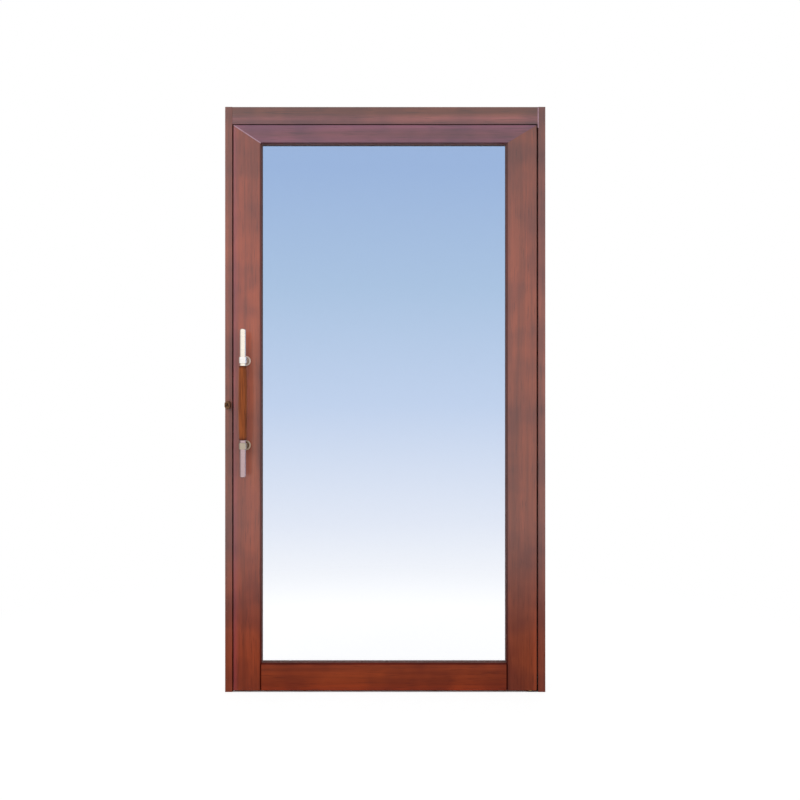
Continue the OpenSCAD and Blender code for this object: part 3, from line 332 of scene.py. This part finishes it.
finishes = {
    # sheet steel, brushed along its length
    "brushed_satin_steel": {
        "colours": ("a9a8aa", "c6c5c6"), "streakMm": (2, 2, 60), "metallic": 1.0,
        "roughness": (0.30, 0.42), "bump": 0.08},
    # blackened steel of the pivots' plates: dull, cloudy
    "blackened_steel": {
        "colours": ("2a2422", "3e3634"), "streakMm": (9, 9, 9), "metallic": 0.6,
        "roughness": (0.46, 0.60), "bump": 0.06},
    # ground round bar: fine rings
    "ground_pin_steel": {
        "colours": ("b4b3b5", "cfcecf"), "streakMm": (20, 20, 1), "metallic": 1.0,
        "roughness": (0.18, 0.28), "bump": 0.04},
    # zinc-plated screws: bluish, cloudy
    "zinc_plated_steel": {
        "colours": ("a4a9b0", "c9ccd0"), "streakMm": (3, 3, 3), "metallic": 1.0,
        "roughness": (0.28, 0.44), "bump": 0.05},
    # extruded and brushed along X
    "extruded_aluminium": {
        "colours": ("b8b8ba", "d2d2d3"), "streakMm": (120, 2, 2), "metallic": 1.0,
        "roughness": (0.30, 0.40), "bump": 0.06},
    # bronze with a dark, speckled patina
    "patinated_bronze": {
        "colours": ("55371f", "785234"), "streakMm": (4, 4, 4), "metallic": 0.4,
        "roughness": (0.34, 0.52), "bump": 0.08},
    # turned brass, dull
    "turned_brass": {
        "colours": ("a8853f", "c8a860"), "streakMm": (12, 12, 1), "metallic": 1.0,
        "roughness": (0.26, 0.38), "bump": 0.04},
    # extruded rubber: matt, a little dusty
    "extruded_brown_rubber": {
        "colours": ("4e3430", "664842"), "streakMm": (6, 6, 6), "metallic": 0.0,
        "roughness": (0.55, 0.72), "bump": 0.06},
    # moulded plastic with a fine eroded grain
    "moulded_black_plastic": {
        "colours": ("1d1d1f", "2b2b2d"), "streakMm": (1.5, 1.5, 1.5), "metallic": 0.0,
        "roughness": (0.46, 0.60), "bump": 0.10},
    # beech dowels and keys: pale, with short flecks
    "turned_beech": {
        "colours": ("b08a5e", "cfae82"), "streakMm": (12, 2, 2), "metallic": 0.0,
        "roughness": (0.50, 0.62), "bump": 0.08},
    # nylon bristles: dark, streaked down their length
    "nylon_bristle": {
        "colours": ("1a1716", "332c29"), "streakMm": (1.5, 1.5, 14), "metallic": 0.0,
        "roughness": (0.50, 0.66), "bump": 0.10},
    # pale lines on two joints, flush; the one on the head's right joint is a painted highlight
    "pale_filler_and_highlight": {
        "colours": ("8a6a76", "9e7e8a"), "streakMm": (8, 8, 8), "metallic": 0.0,
        "roughness": (0.50, 0.62), "bump": 0.05},
}
marks = {"colourAt": (0.34, 0.64), "roughAt": (0.3, 0.7), "depthMm": 0.3}  # noise values, and the relief


def plainFinish(name):
    f = finishes[name]
    material, tree, output, place = newMaterial(name)
    grain = noise(tree, stretched(tree, place, f["streakMm"]), 3.0, 0.55)
    colour = ramp(tree, (grain, "Fac"), list(zip(marks["colourAt"], f["colours"])))
    (start, end), (least, most) = marks["roughAt"], f["roughness"]
    rough = addNode(tree, "MapRange", inputs={
        "From Min": start, "From Max": end, "To Min": least, "To Max": most,
    }, links={"Value": (grain, "Fac")})
    relief = addNode(tree, "Bump", inputs={"Strength": f["bump"], "Distance": marks["depthMm"] / 1000},
                     links={"Height": (grain, "Fac")})
    surface(tree, output, {"Metallic": f["metallic"]}, {
        "Base Color": (colour, "Color"), "Roughness": (rough, "Result"), "Normal": (relief, "Normal")})
    return material


# Stainless steel of the handle: drawn and buffed. A warm mirror with faint rings, greyer on the lower
# half as a painted reflection, darker on its flanks as painted shade, and at its feet a browner copy as
# painted shade.

handleSteels = {
    "polished_stainless_steel": {
        "upper": "fff5e6", "lower": "c4aaac", "flank": "9a8e8c", "ringMm": 2, "roughness": (0.26, 0.14)},
    "dulled_stainless_steel": {
        "upper": "fffaf6", "lower": "bcae9c", "flank": "9c928c", "ringMm": 2, "roughness": (0.30, 0.18)},
    # the rosettes: a darker, browner copy of the steel, as painted shade
    "shaded_stainless_steel": {
        "upper": "e6d4c8", "lower": "c6b29c", "flank": "ffffff", "ringMm": 3, "roughness": (0.40, 0.34)},
}
ringsAndShading = {
    "halvesAt": (0.3, 0.7),    # parts of the tube's length: the lower tone (a painted reflection) ends, the upper one starts
    "ringLengthMm": 60, "ringTones": [(0.3, "f2f0f0"), (0.6, "ffffff")], "ringAmount": 0.6,
    "litDegrees": 35,        # the side painted as lit, turned from the front to the pane
    "litReach": 0.65,        # part of the radius, towards that side, where the painted shade ends and the full tone starts
}


def handleSteel(name):
    steel = handleSteels[name]
    material, tree, output, place = newMaterial(name)
    low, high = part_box("handle_tube")
    span = share(tree, (splitAxes(tree, place), "Z"), low.z, high.z)
    tone = ramp(tree, (span, "Result"), list(zip(ringsAndShading["halvesAt"], (steel["lower"], steel["upper"]))))
    length = ringsAndShading["ringLengthMm"]
    rings = noise(tree, stretched(tree, place, (length, length, steel["ringMm"])), 3.0)
    wiped = ramp(tree, (rings, "Fac"), ringsAndShading["ringTones"])
    turn = math.radians(ringsAndShading["litDegrees"])
    toLit = Vector((math.sin(turn), -math.cos(turn), 0))
    axis = toLit.dot((low + high) / 2)
    # painted shade: darker on the flanks, away from the lit side
    reach = addNode(tree, "VectorMath", {"operation": "DOT_PRODUCT"}, {1: toLit},
                    {0: (place, "Object")})
    forward = share(tree, (reach, "Value"), axis, axis + (high.x - low.x) / 2)
    flankShade = ramp(tree, (forward, "Result"), [(0.0, steel["flank"]), (ringsAndShading["litReach"], "ffffff")])
    colour = multiplied(tree, multiplied(tree, tone, wiped, ringsAndShading["ringAmount"]), flankShade)
    lower, upper = steel["roughness"]
    rough = addNode(tree, "MapRange", inputs={"To Min": lower, "To Max": upper},
                    links={"Value": (span, "Result")})
    surface(tree, output, {"Metallic": 1.0},
            {"Base Color": (colour, "Color"), "Roughness": (rough, "Result")})
    return material


look = {name: plainFinish(name) for name in finishes}
look.update((name, handleSteel(name)) for name in handleSteels)
look["graded_laminated_glass"] = gradedGlass()
look["oiled_turned_hardwood"] = oiledGripWood()
print("materials made:", len(look) + len(boards))

# CAD nodes whose shape is right keep it and take a material

finishOfSlot = {
    "beech": "turned_beech", "grip_wood": "oiled_turned_hardwood",
    "ribbed_aluminium": "extruded_aluminium",
    "satin_steel": "brushed_satin_steel", "pin_steel": "ground_pin_steel",
    "zinc_steel": "zinc_plated_steel", "polished_steel": "polished_stainless_steel",
    "dark_bronze": "patinated_bronze", "bush_brass": "turned_brass",
    "seal_rubber": "extruded_brown_rubber", "contact_plastic": "moulded_black_plastic",
    "bristle": "nylon_bristle", "tinted_glass": "graded_laminated_glass",
}
finishOfNode = {
    "top_pivot_plate": "blackened_steel", "bottom_pivot_bracket": "blackened_steel",
    "handle_bolts": "brushed_satin_steel",
}
slotOf = {s["node"]: s["material_slot"] for s in frame["record"]["subparts"]}
for name, node in nodes.items():
    finish = finishOfNode.get(name) or finishOfSlot.get(slotOf[name])
    dressed = varnishedMahogany(name, *boards[name]) if name in boards else look[finish]
    node.data.materials.clear()
    node.data.materials.append(dressed)
print("CAD nodes dressed:", len(nodes))


# Surfaces

# points nearer than weld (m) become one, and steeper edges stay sharp
meshing = {"weld": 1e-6, "sharpDegrees": 38}


def gridFaces(rows, columns, wrapRows=False, wrapColumns=False):
    # quads between neighbours of a rows x columns grid; a wrapped side joins its last line to its first
    r = np.arange(rows if wrapRows else rows - 1)[:, None]
    c = np.arange(columns if wrapColumns else columns - 1)[None, :]
    nextR, nextC = (r + 1) % rows, (c + 1) % columns
    corners = [r * columns + c, r * columns + nextC, nextR * columns + nextC, nextR * columns + c]
    return np.stack(np.broadcast_arrays(*corners), axis=-1).reshape(-1, 4)


def closedMesh(name, sheets):
    # one mesh from (points, faces) sheets; poles are merged and every closed shell turned outwards
    points, faces, start = [], [], 0
    for sheetPoints, sheetFaces in sheets:
        flat = sheetPoints.reshape(-1, 3)
        points.append(flat)
        faces.append(sheetFaces + start)
        start += len(flat)
    mesh = bpy.data.meshes.new(name)
    mesh.from_pydata(np.concatenate(points).tolist(), [], np.concatenate(faces).tolist())
    shell = bmesh.new()
    shell.from_mesh(mesh)
    bmesh.ops.remove_doubles(shell, verts=shell.verts, dist=meshing["weld"])
    bmesh.ops.recalc_face_normals(shell, faces=shell.faces)
    shell.to_mesh(mesh)
    shell.free()
    mesh.shade_smooth()
    mesh.set_sharp_from_angle(angle=math.radians(meshing["sharpDegrees"]))
    return mesh


def makePiece(name, sheets, material, body, replaced=()):
    mesh = closedMesh(name, sheets)
    mesh.materials.append(look[material])
    piece = bpy.data.objects.new(name, mesh)
    bpy.context.scene.collection.objects.link(piece)
    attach(piece, body)
    if replaced:
        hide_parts(*replaced)
    print("made", name, "with", len(mesh.polygons), "faces")


def lathe(profile, centre, axis, closed=False, steps=64):
    # P(i, a) = centre + radius_i (cos a U + sin a V) + height_i W: W is the axis, U and V are square to it
    profile = np.asarray(profile, float)
    w = np.eye(3)["XYZ".index(axis)]
    u, v = np.roll(w, 1), np.roll(w, 2)
    a = np.linspace(0, 2 * np.pi, steps, endpoint=False)
    ring = np.cos(a)[:, None] * u + np.sin(a)[:, None] * v
    radii, heights = profile[:, None, :1], profile[:, None, 1:]
    points = np.asarray(centre, float) + radii * ring + heights * w
    return points, gridFaces(len(profile), steps, wrapRows=closed, wrapColumns=True)


def arc(centreR, centreH, radius, fromDegrees, toDegrees, steps=8):
    # points (radius, height) of a circular arc in the half plane of a lathe profile
    t = np.radians(np.linspace(fromDegrees, toDegrees, steps))
    return np.column_stack([centreR + radius * np.cos(t), centreH + radius * np.sin(t)])


def boxOf(node):  # low corner, high corner and middle as arrays
    low, high = (np.array(corner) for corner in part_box(node))
    return low, high, (low + high) / 2


# Pull handle: polished tube with domed caps, a turned grip, and two standoffs on rosettes

handle = {
    "wall": 0.0015, "play": 0.0001,        # of the tube, and round it
    "domeSteps": 14, "gripSteps": 41, "postSteps": 25,
    "gripSwell": 0.002, "gripRound": 0.003,
    "collarRound": 0.003,
    "postRadius": 0.009, "postSeat": 0.0012,  # the post starts this far behind the collar's bore
    "postFlare": 0.004, "flarePower": 6,
    "rosetteRound": 0.002,
}

tubeLow, tubeHigh, tubeMiddle = boxOf("handle_tube")
tubeRadius = (tubeHigh[0] - tubeLow[0]) / 2
tubeHalf = (tubeHigh[2] - tubeLow[2]) / 2
boreRadius = tubeRadius - handle["wall"]
seatRadius = tubeRadius + handle["play"]  # bore of what sits on the tube
tubeProfile = [(tubeRadius, -tubeHalf), (tubeRadius, tubeHalf),
               (boreRadius, tubeHalf), (boreRadius, -tubeHalf)]
makePiece("handleTube", [lathe(tubeProfile, tubeMiddle, "Z", closed=True)], "polished_stainless_steel",
          "leaf", ["handle_tube"])


def domedCap(name, node, up):
    # a quarter ellipse turned about the tube's axis, over the tube's end, and a short spigot in its bore
    low, high, _ = boxOf(node)
    seat = tubeMiddle[2] + up * tubeHalf
    crown, inner = (high[2], low[2]) if up > 0 else (low[2], high[2])
    rise, depth = abs(crown - seat), abs(inner - seat)
    t = np.linspace(0, np.pi / 2, handle["domeSteps"])
    dome = np.column_stack([tubeRadius * np.cos(t), up * rise * np.sin(t)])
    dome[-1, 0] = 0
    plug = boreRadius - handle["play"]
    profile = np.concatenate([[(0, -up * depth), (plug, -up * depth), (plug, 0)], dome])
    centre = (tubeMiddle[0], tubeMiddle[1], seat)
    makePiece(name, [lathe(profile, centre, "Z")], "polished_stainless_steel",
              "leaf", [node])


domedCap("handleUpperCap", "upper_cap", 1)
domedCap("handleLowerCap", "lower_cap", -1)

# P(i, a): radius_i = end + swell cos(pi h / 2 half) along the grip, with both ends rounded
gripLow, gripHigh, gripMiddle = boxOf("handle_grip")
gripHalf = (gripHigh[2] - gripLow[2]) / 2
gripEnd = (gripHigh[0] - gripLow[0]) / 2 - handle["gripSwell"]
gripRound = handle["gripRound"]
h = np.linspace(-gripHalf + gripRound, gripHalf - gripRound, handle["gripSteps"])
barrel = np.column_stack([gripEnd + handle["gripSwell"] * np.cos(h / gripHalf * np.pi / 2), h])
lowEnd = arc(barrel[0, 0] - gripRound, barrel[0, 1], gripRound, -90, 0)[:-1]
highEnd = arc(barrel[-1, 0] - gripRound, barrel[-1, 1], gripRound, 0, 90)[1:]
gripProfile = np.concatenate([[(seatRadius, -gripHalf)], lowEnd, barrel, highEnd,
                              [(seatRadius, gripHalf)]])
makePiece("handleGrip", [lathe(gripProfile, gripMiddle, "Z", closed=True)], "oiled_turned_hardwood",
          "leaf", ["handle_grip"])


def standoff(name, node, rosetteNode):
    # a collar turned about the tube, rounded at both rims, and a post turned about Y
    low, high, middle = boxOf(node)
    radius, half, ease = (high[0] - low[0]) / 2, (high[2] - low[2]) / 2, handle["collarRound"]
    lowRim = arc(radius - ease, -half + ease, ease, -90, 0)
    highRim = arc(radius - ease, half - ease, ease, 0, 90)
    collar = np.concatenate([[(seatRadius, -half)], lowRim, highRim, [(seatRadius, half)]])
    start = tubeMiddle[1] + seatRadius + handle["postSeat"]
    foot = boxOf(rosetteNode)[0][1]  # the rosette's front face
    # the post flares at both ends: radius(t) = post + flare ((1 - t)^n + t^n)
    t, n = np.linspace(0, 1, handle["postSteps"]), handle["flarePower"]
    flare = handle["postFlare"] * ((1 - t) ** n + t ** n)
    post = np.column_stack([handle["postRadius"] + flare, start + t * (foot - start) - middle[1]])
    post = np.concatenate([[(0, post[0, 1])], post, [(0, post[-1, 1])]])
    makePiece(name, [lathe(collar, (tubeMiddle[0], tubeMiddle[1], middle[2]), "Z", closed=True),
                     lathe(post, (tubeMiddle[0], middle[1], middle[2]), "Y")],
              "dulled_stainless_steel", "leaf", [node])


def rosette(name, node):
    # a flat disc turned about Y, its front rim rounded
    low, high, middle = boxOf(node)
    radius, thick, ease = (high[0] - low[0]) / 2, high[1] - low[1], handle["rosetteRound"]
    rim = arc(radius - ease, -thick / 2 + ease, ease, -90, 0)
    profile = np.concatenate([[(0, -thick / 2)], rim, [(radius, thick / 2), (0, thick / 2)]])
    makePiece(name, [lathe(profile, middle, "Y")], "shaded_stainless_steel",
              "leaf", [node])


for level in ("upper", "lower"):
    standoff(level + "Standoff", level + "_standoff", level + "_rosette")
    rosette(level + "Rosette", level + "_rosette")

# Key plate: an upright oval with a rounded nose, bored for the key barrel, on the lock jamb

keyPlate = {"wall": 0.00225, "nose": 0.0015, "endSteps": 33, "sideSteps": 9}
plateLow, plateHigh, plateMiddle = boxOf("key_escutcheon")
plateRadius = (plateHigh[0] - plateLow[0]) / 2
plateRise = (plateHigh[2] - plateLow[2]) / 2 - plateRadius
plateHalf = (plateHigh[1] - plateLow[1]) / 2
nose = arc(plateRadius - keyPlate["nose"], -plateHalf + keyPlate["nose"], keyPlate["nose"], -90, 0)
plateProfile = np.concatenate([nose, [(plateRadius, plateHalf)]])  # radius of the round ends, depth
# P(i, a) = middle + (r_i cos a, depth_i, r_i sin a + rise u): a turns on the round ends, and u runs
# along the straight sides from 1 at the upper end to -1 at the lower
down = np.linspace(1, -1, keyPlate["sideSteps"] + 2)[1:-1]
one, half = np.ones(keyPlate["endSteps"]), np.linspace(0, np.pi, keyPlate["endSteps"])
a = np.concatenate([half, np.full(down.shape, np.pi), half + np.pi, np.zeros(down.shape)])
u = np.concatenate([one, down, -one, -down])
r, depth = plateProfile[:, :1], np.broadcast_to(plateProfile[:, 1:], (len(plateProfile), len(a)))
outer = np.stack([r * np.cos(a), depth, r * np.sin(a) + plateRise * u], axis=-1)
# the bore is a circle whose points face those of the outline
facing = np.arctan2(outer[-1, :, 2], outer[-1, :, 0])
boreX, boreZ = ((plateRadius - keyPlate["wall"]) * f(facing) for f in (np.cos, np.sin))
bore = np.stack([np.stack([boreX, np.full(a.shape, y), boreZ], axis=-1)
                 for y in (plateHalf, -plateHalf)])
platePoints = plateMiddle + np.concatenate([outer, bore])
makePiece("keyPlate", [(platePoints, gridFaces(len(platePoints), len(a), True, True))],
          "patinated_bronze", "frame", ["key_escutcheon"])

# Front glazing strip: one profile carried round the opening, with a bulging lip against the glass

strip = {
    "bite": 0.010, "show": 0.003,        # under the wood, and on the glass
    "wing": 0.003, "lipEdge": 0.001,     # thickness under the wood, and of the lip's edge on the glass
    "bulge": 0.0009, "lipSteps": 10,
}
bite, show = strip["bite"], strip["show"]
stripLow, stripHigh, _ = boxOf("front_gasket")
glassFront = boxOf("glass")[0][1]
opening = [stripLow[0] + bite, stripHigh[0] - bite, stripLow[2] + bite, stripHigh[2] - bite]
# the lip runs straight from the wood to the glass and bulges by a half sine square to that line
t = np.linspace(0, 1, strip["lipSteps"])
fall = glassFront - strip["lipEdge"] - stripLow[1]
slope = np.array([fall, show])
lip = np.column_stack([-show * t, stripLow[1] + t * fall])
lip -= strip["bulge"] * np.sin(np.pi * t)[:, None] * slope / np.hypot(*slope)
wingFront = glassFront - strip["wing"]
stripProfile = np.concatenate([[(bite, wingFront), (0, wingFront)], lip,
                               [(-show, glassFront), (bite, glassFront)]])
# P(i, k) = corner k of the opening moved out by distance_i in X and in Z, at depth_i
sideX, sideZ = np.array([0, 1, 1, 0]), np.array([0, 0, 1, 1])
edgeX, edgeZ = np.array(opening[:2])[sideX], np.array(opening[2:])[sideZ]
outX, outZ = np.array([-1, 1])[sideX], np.array([-1, 1])[sideZ]
out, depth = stripProfile[:, :1], np.broadcast_to(stripProfile[:, 1:], (len(stripProfile), len(sideX)))
stripPoints = np.stack([edgeX + out * outX, depth, edgeZ + out * outZ], axis=-1)
makePiece("frontGlazingStrip", [(stripPoints, gridFaces(len(stripProfile), len(sideX), True, True))],
          "extruded_brown_rubber", "leaf", ["front_gasket"])

# Bottom brush: a row of tapered four-sided tufts that lean a little, each turned by a seeded angle

brush = {
    "tuftPitch": 0.0022, "tuftHalf": 0.0012, "tipShare": 0.55,
    "endGap": 0.002, "lean": 0.0007, "uneven": 0.0012, "seed": 11,
}
brushLow, brushHigh, brushMiddle = boxOf("bottom_brush")
tufts = int((brushHigh[0] - brushLow[0] - 2 * brush["endGap"]) / brush["tuftPitch"])
rootX = np.linspace(brushLow[0] + brush["endGap"], brushHigh[0] - brush["endGap"], tufts)
chance = np.random.default_rng(brush["seed"])
turn = np.arange(4) * np.pi / 2 + chance.uniform(0, np.pi / 2, tufts)[:, None]
tipShift = chance.uniform(-1, 1, (tufts, 2)) * brush["lean"]
tipZ = brushLow[2] + chance.uniform(0, brush["uneven"], tufts)


def tuftRing(x, y, z, half):  # the four corners of every tuft at one end
    corners = (x + half * np.cos(turn), y + half * np.sin(turn), z)
    return np.stack(np.broadcast_arrays(*corners), axis=-1)


root = tuftRing(rootX[:, None], brushMiddle[1], brushHigh[2], brush["tuftHalf"])
tip = tuftRing(rootX[:, None] + tipShift[:, :1], brushMiddle[1] + tipShift[:, 1:], tipZ[:, None],
               brush["tuftHalf"] * brush["tipShare"])
tuftPoints = np.concatenate([root, tip], axis=1)  # eight corners a tuft
tuftFaces = np.array([[0, 1, 5, 4], [1, 2, 6, 5], [2, 3, 7, 6], [3, 0, 4, 7],
                      [3, 2, 1, 0], [4, 5, 6, 7]])
brushFaces = (np.arange(tufts)[:, None, None] * tuftPoints.shape[1] + tuftFaces).reshape(-1, 4)
makePiece("bottomBrush", [(tuftPoints, brushFaces)], "nylon_bristle",
          "leaf", ["bottom_brush"])

# Pale lines on two joints: thin strips with a crowned face, flush on the boards' front; the one on the
# head's right joint is a painted highlight

paleLine = {"halfWidth": 0.0020, "proud": 0.00015, "deep": 0.0006, "endGap": 0.002, "steps": 7}
stileLow, stileHigh, _ = boxOf("lock_stile")
headLow, headHigh, _ = boxOf("head")
frontY = stileLow[1]


def paleJointLine(name, start, end, body):
    # a crowned strip from start to end (X, Z) on the front face: across it, it rises as 1 - s squared
    start, end = np.asarray(start, float), np.asarray(end, float)
    run = (end - start) / np.linalg.norm(end - start)
    side = np.array([-run[1], run[0]])
    s = np.linspace(-1, 1, paleLine["steps"])
    front = frontY - paleLine["proud"] * (1 - s ** 2)
    ringS = np.concatenate([s, [1, -1]])
    ringY = np.concatenate([front, [frontY + paleLine["deep"]] * 2])
    ends = np.stack([start + run * paleLine["endGap"], end - run * paleLine["endGap"]])
    flat = ends[:, None, :] + ringS[None, :, None] * paleLine["halfWidth"] * side
    points = np.stack([flat[..., 0], np.broadcast_to(ringY, flat.shape[:2]), flat[..., 1]], axis=-1)
    middles = np.repeat(points.mean(axis=1, keepdims=True), len(ringS), 1)  # poles that close both ends
    capped = np.concatenate([middles[:1], points, middles[1:]])
    makePiece(name, [(capped, gridFaces(len(capped), len(ringS), wrapColumns=True))], "pale_filler_and_highlight",
              body)


paleJointLine("upperLeftMitreFiller", (stileLow[0], stileHigh[2]), (opening[0], opening[3]), "leaf")
# painted highlight along the joint of the head and the right jamb
paleJointLine("upperRightHeadHighlight", (headHigh[0], headLow[2]), (headHigh[0], headHigh[2]), "frame")

# Stage: pale floor, soft lamps, camera

stage = {
    "floorRadius": 9.0, "floorRings": 24, "floorSteps": 96,
    "paper": "ececec",          # what the floor sends back as light
    "glow": 0.90,               # white that the eye gets straight from the floor
    "shadowPaper": "666666",    # the rest of its white, which takes the shadow
    "fadeFrom": 1.1, "fadeTo": 2.2,  # metres from the door where the shadow fades out
    "ambient": 0.62,
    "aim": (0, 0, 1.05),
    # place, power in watts and size in metres
    "lamps": {
        "keyLamp": ((-2.3, -3.3, 3.0), 85, 2.6),
        "fillLamp": ((2.6, -3.0, 1.8), 26, 2.2),
        "backLamp": ((0.6, 3.4, 2.8), 70, 2.6),
    },
}


def seenStraight(tree):
    # 1 for what the eye gets direct, mirrored or through the glass, 0 for light on surfaces
    path = addNode(tree, "LightPath")
    direct = mathNode(tree, "ADD", links={0: (path, "Is Camera Ray"), 1: (path, "Is Glossy Ray")})
    return mathNode(tree, "ADD", links={
        0: (direct, "Value"), 1: (path, "Is Transmission Ray")}, clamp=True)


def studioPaper():
    material, tree, output, place = newMaterial("studio_paper")
    paper = addNode(tree, "BsdfDiffuse", inputs={"Color": linear(stage["paper"])})
    shadowPaper = addNode(tree, "BsdfDiffuse", inputs={"Color": linear(stage["shadowPaper"])})
    glow = addNode(tree, "Emission", inputs={"Color": linear("ffffff"), "Strength": stage["glow"]})
    near = addNode(tree, "AddShader", links={0: (shadowPaper, "BSDF"), 1: (glow, "Emission")})
    far = addNode(tree, "Emission", inputs={"Color": linear("ffffff"), "Strength": 1.0})
    distance = addNode(tree, "VectorMath", {"operation": "LENGTH"}, links={0: (place, "Object")})
    fade = addNode(tree, "MapRange", {"interpolation_type": "SMOOTHSTEP"},
                   {"From Min": stage["fadeFrom"], "From Max": stage["fadeTo"]},
                   {"Value": (distance, "Value")})
    white = addNode(tree, "MixShader", links={
        0: (fade, "Result"), 1: (near, "Shader"), 2: (far, "Emission")})
    # under the leaf the paper is plain, so that the gap there is as dark as it is
    axes = splitAxes(tree, place)
    acrossDoor = mathNode(tree, "COMPARE", {1: 0.0, 2: cadBox[1].x}, {0: (axes, "X")})
    throughDoor = mathNode(tree, "COMPARE", {1: frontY / 2, 2: -frontY / 2}, {0: (axes, "Y")})
    under = mathNode(tree, "MULTIPLY", links={0: (acrossDoor, "Value"), 1: (throughDoor, "Value")})
    clear = mathNode(tree, "SUBTRACT", {0: 1.0}, {1: (under, "Value")})
    glowing = mathNode(tree, "MULTIPLY", links={0: (seenStraight(tree), "Value"), 1: (clear, "Value")})
    mixed = addNode(tree, "MixShader", links={
        0: (glowing, "Value"), 1: (paper, "BSDF"), 2: (white, "Shader")})
    tree.links.new(mixed.outputs["Shader"], output.inputs["Surface"])
    return material


# P(i, a) = radius_i (cos a, sin a, 0): a round floor
floorRings = np.linspace(0, 1, stage["floorRings"]) ** 2 * stage["floorRadius"]
floorDisc = lathe(np.column_stack([floorRings, np.zeros_like(floorRings)]), (0, 0, 0), "Z",
                  steps=stage["floorSteps"])
floorMesh = closedMesh("studioFloor", [floorDisc])
floorMesh.materials.append(studioPaper())
floorObject = bpy.data.objects.new("studioFloor", floorMesh)
bpy.context.scene.collection.objects.link(floorObject)

world = bpy.data.worlds.new("studio")
bpy.context.scene.world = world
world.use_nodes = True
tree = world.node_tree
tree.nodes.clear()
strength = addNode(tree, "MapRange", inputs={"To Min": stage["ambient"], "To Max": 1.0},
                   links={"Value": (seenStraight(tree), "Value")})
sky = addNode(tree, "Background", inputs={"Color": linear("ffffff")},
              links={"Strength": (strength, "Result")})
addNode(tree, "OutputWorld", links={"Surface": (sky, "Background")})


def softLamp(name, place, power, size):
    light = bpy.data.lights.new(name, "AREA")
    light.energy, light.size = power, size
    lamp = bpy.data.objects.new(name, light)
    bpy.context.scene.collection.objects.link(lamp)
    away = Vector(place) - Vector(stage["aim"])
    lamp.location = place
    lamp.rotation_euler = away.to_track_quat("Z", "Y").to_euler()
    # only the white studio shows
    lamp.visible_camera = lamp.visible_glossy = lamp.visible_transmission = False


for name, (place, power, size) in stage["lamps"].items():
    softLamp(name, place, power, size)

eye = {"place": (0.053, -3.06, 1.048), "lens": 37.62, "sensor": 36.0}  # level, square to the door
cameraData = bpy.data.cameras.new("photoCamera")
cameraData.lens, cameraData.sensor_width = eye["lens"], eye["sensor"]
camera = bpy.data.objects.new("photoCamera", cameraData)
camera.location = eye["place"]
camera.rotation_euler = (math.radians(90), 0, 0)
bpy.context.scene.collection.objects.link(camera)
bpy.context.scene.camera = camera
bpy.context.scene.view_settings.view_transform = "Standard"
print("stage ready")
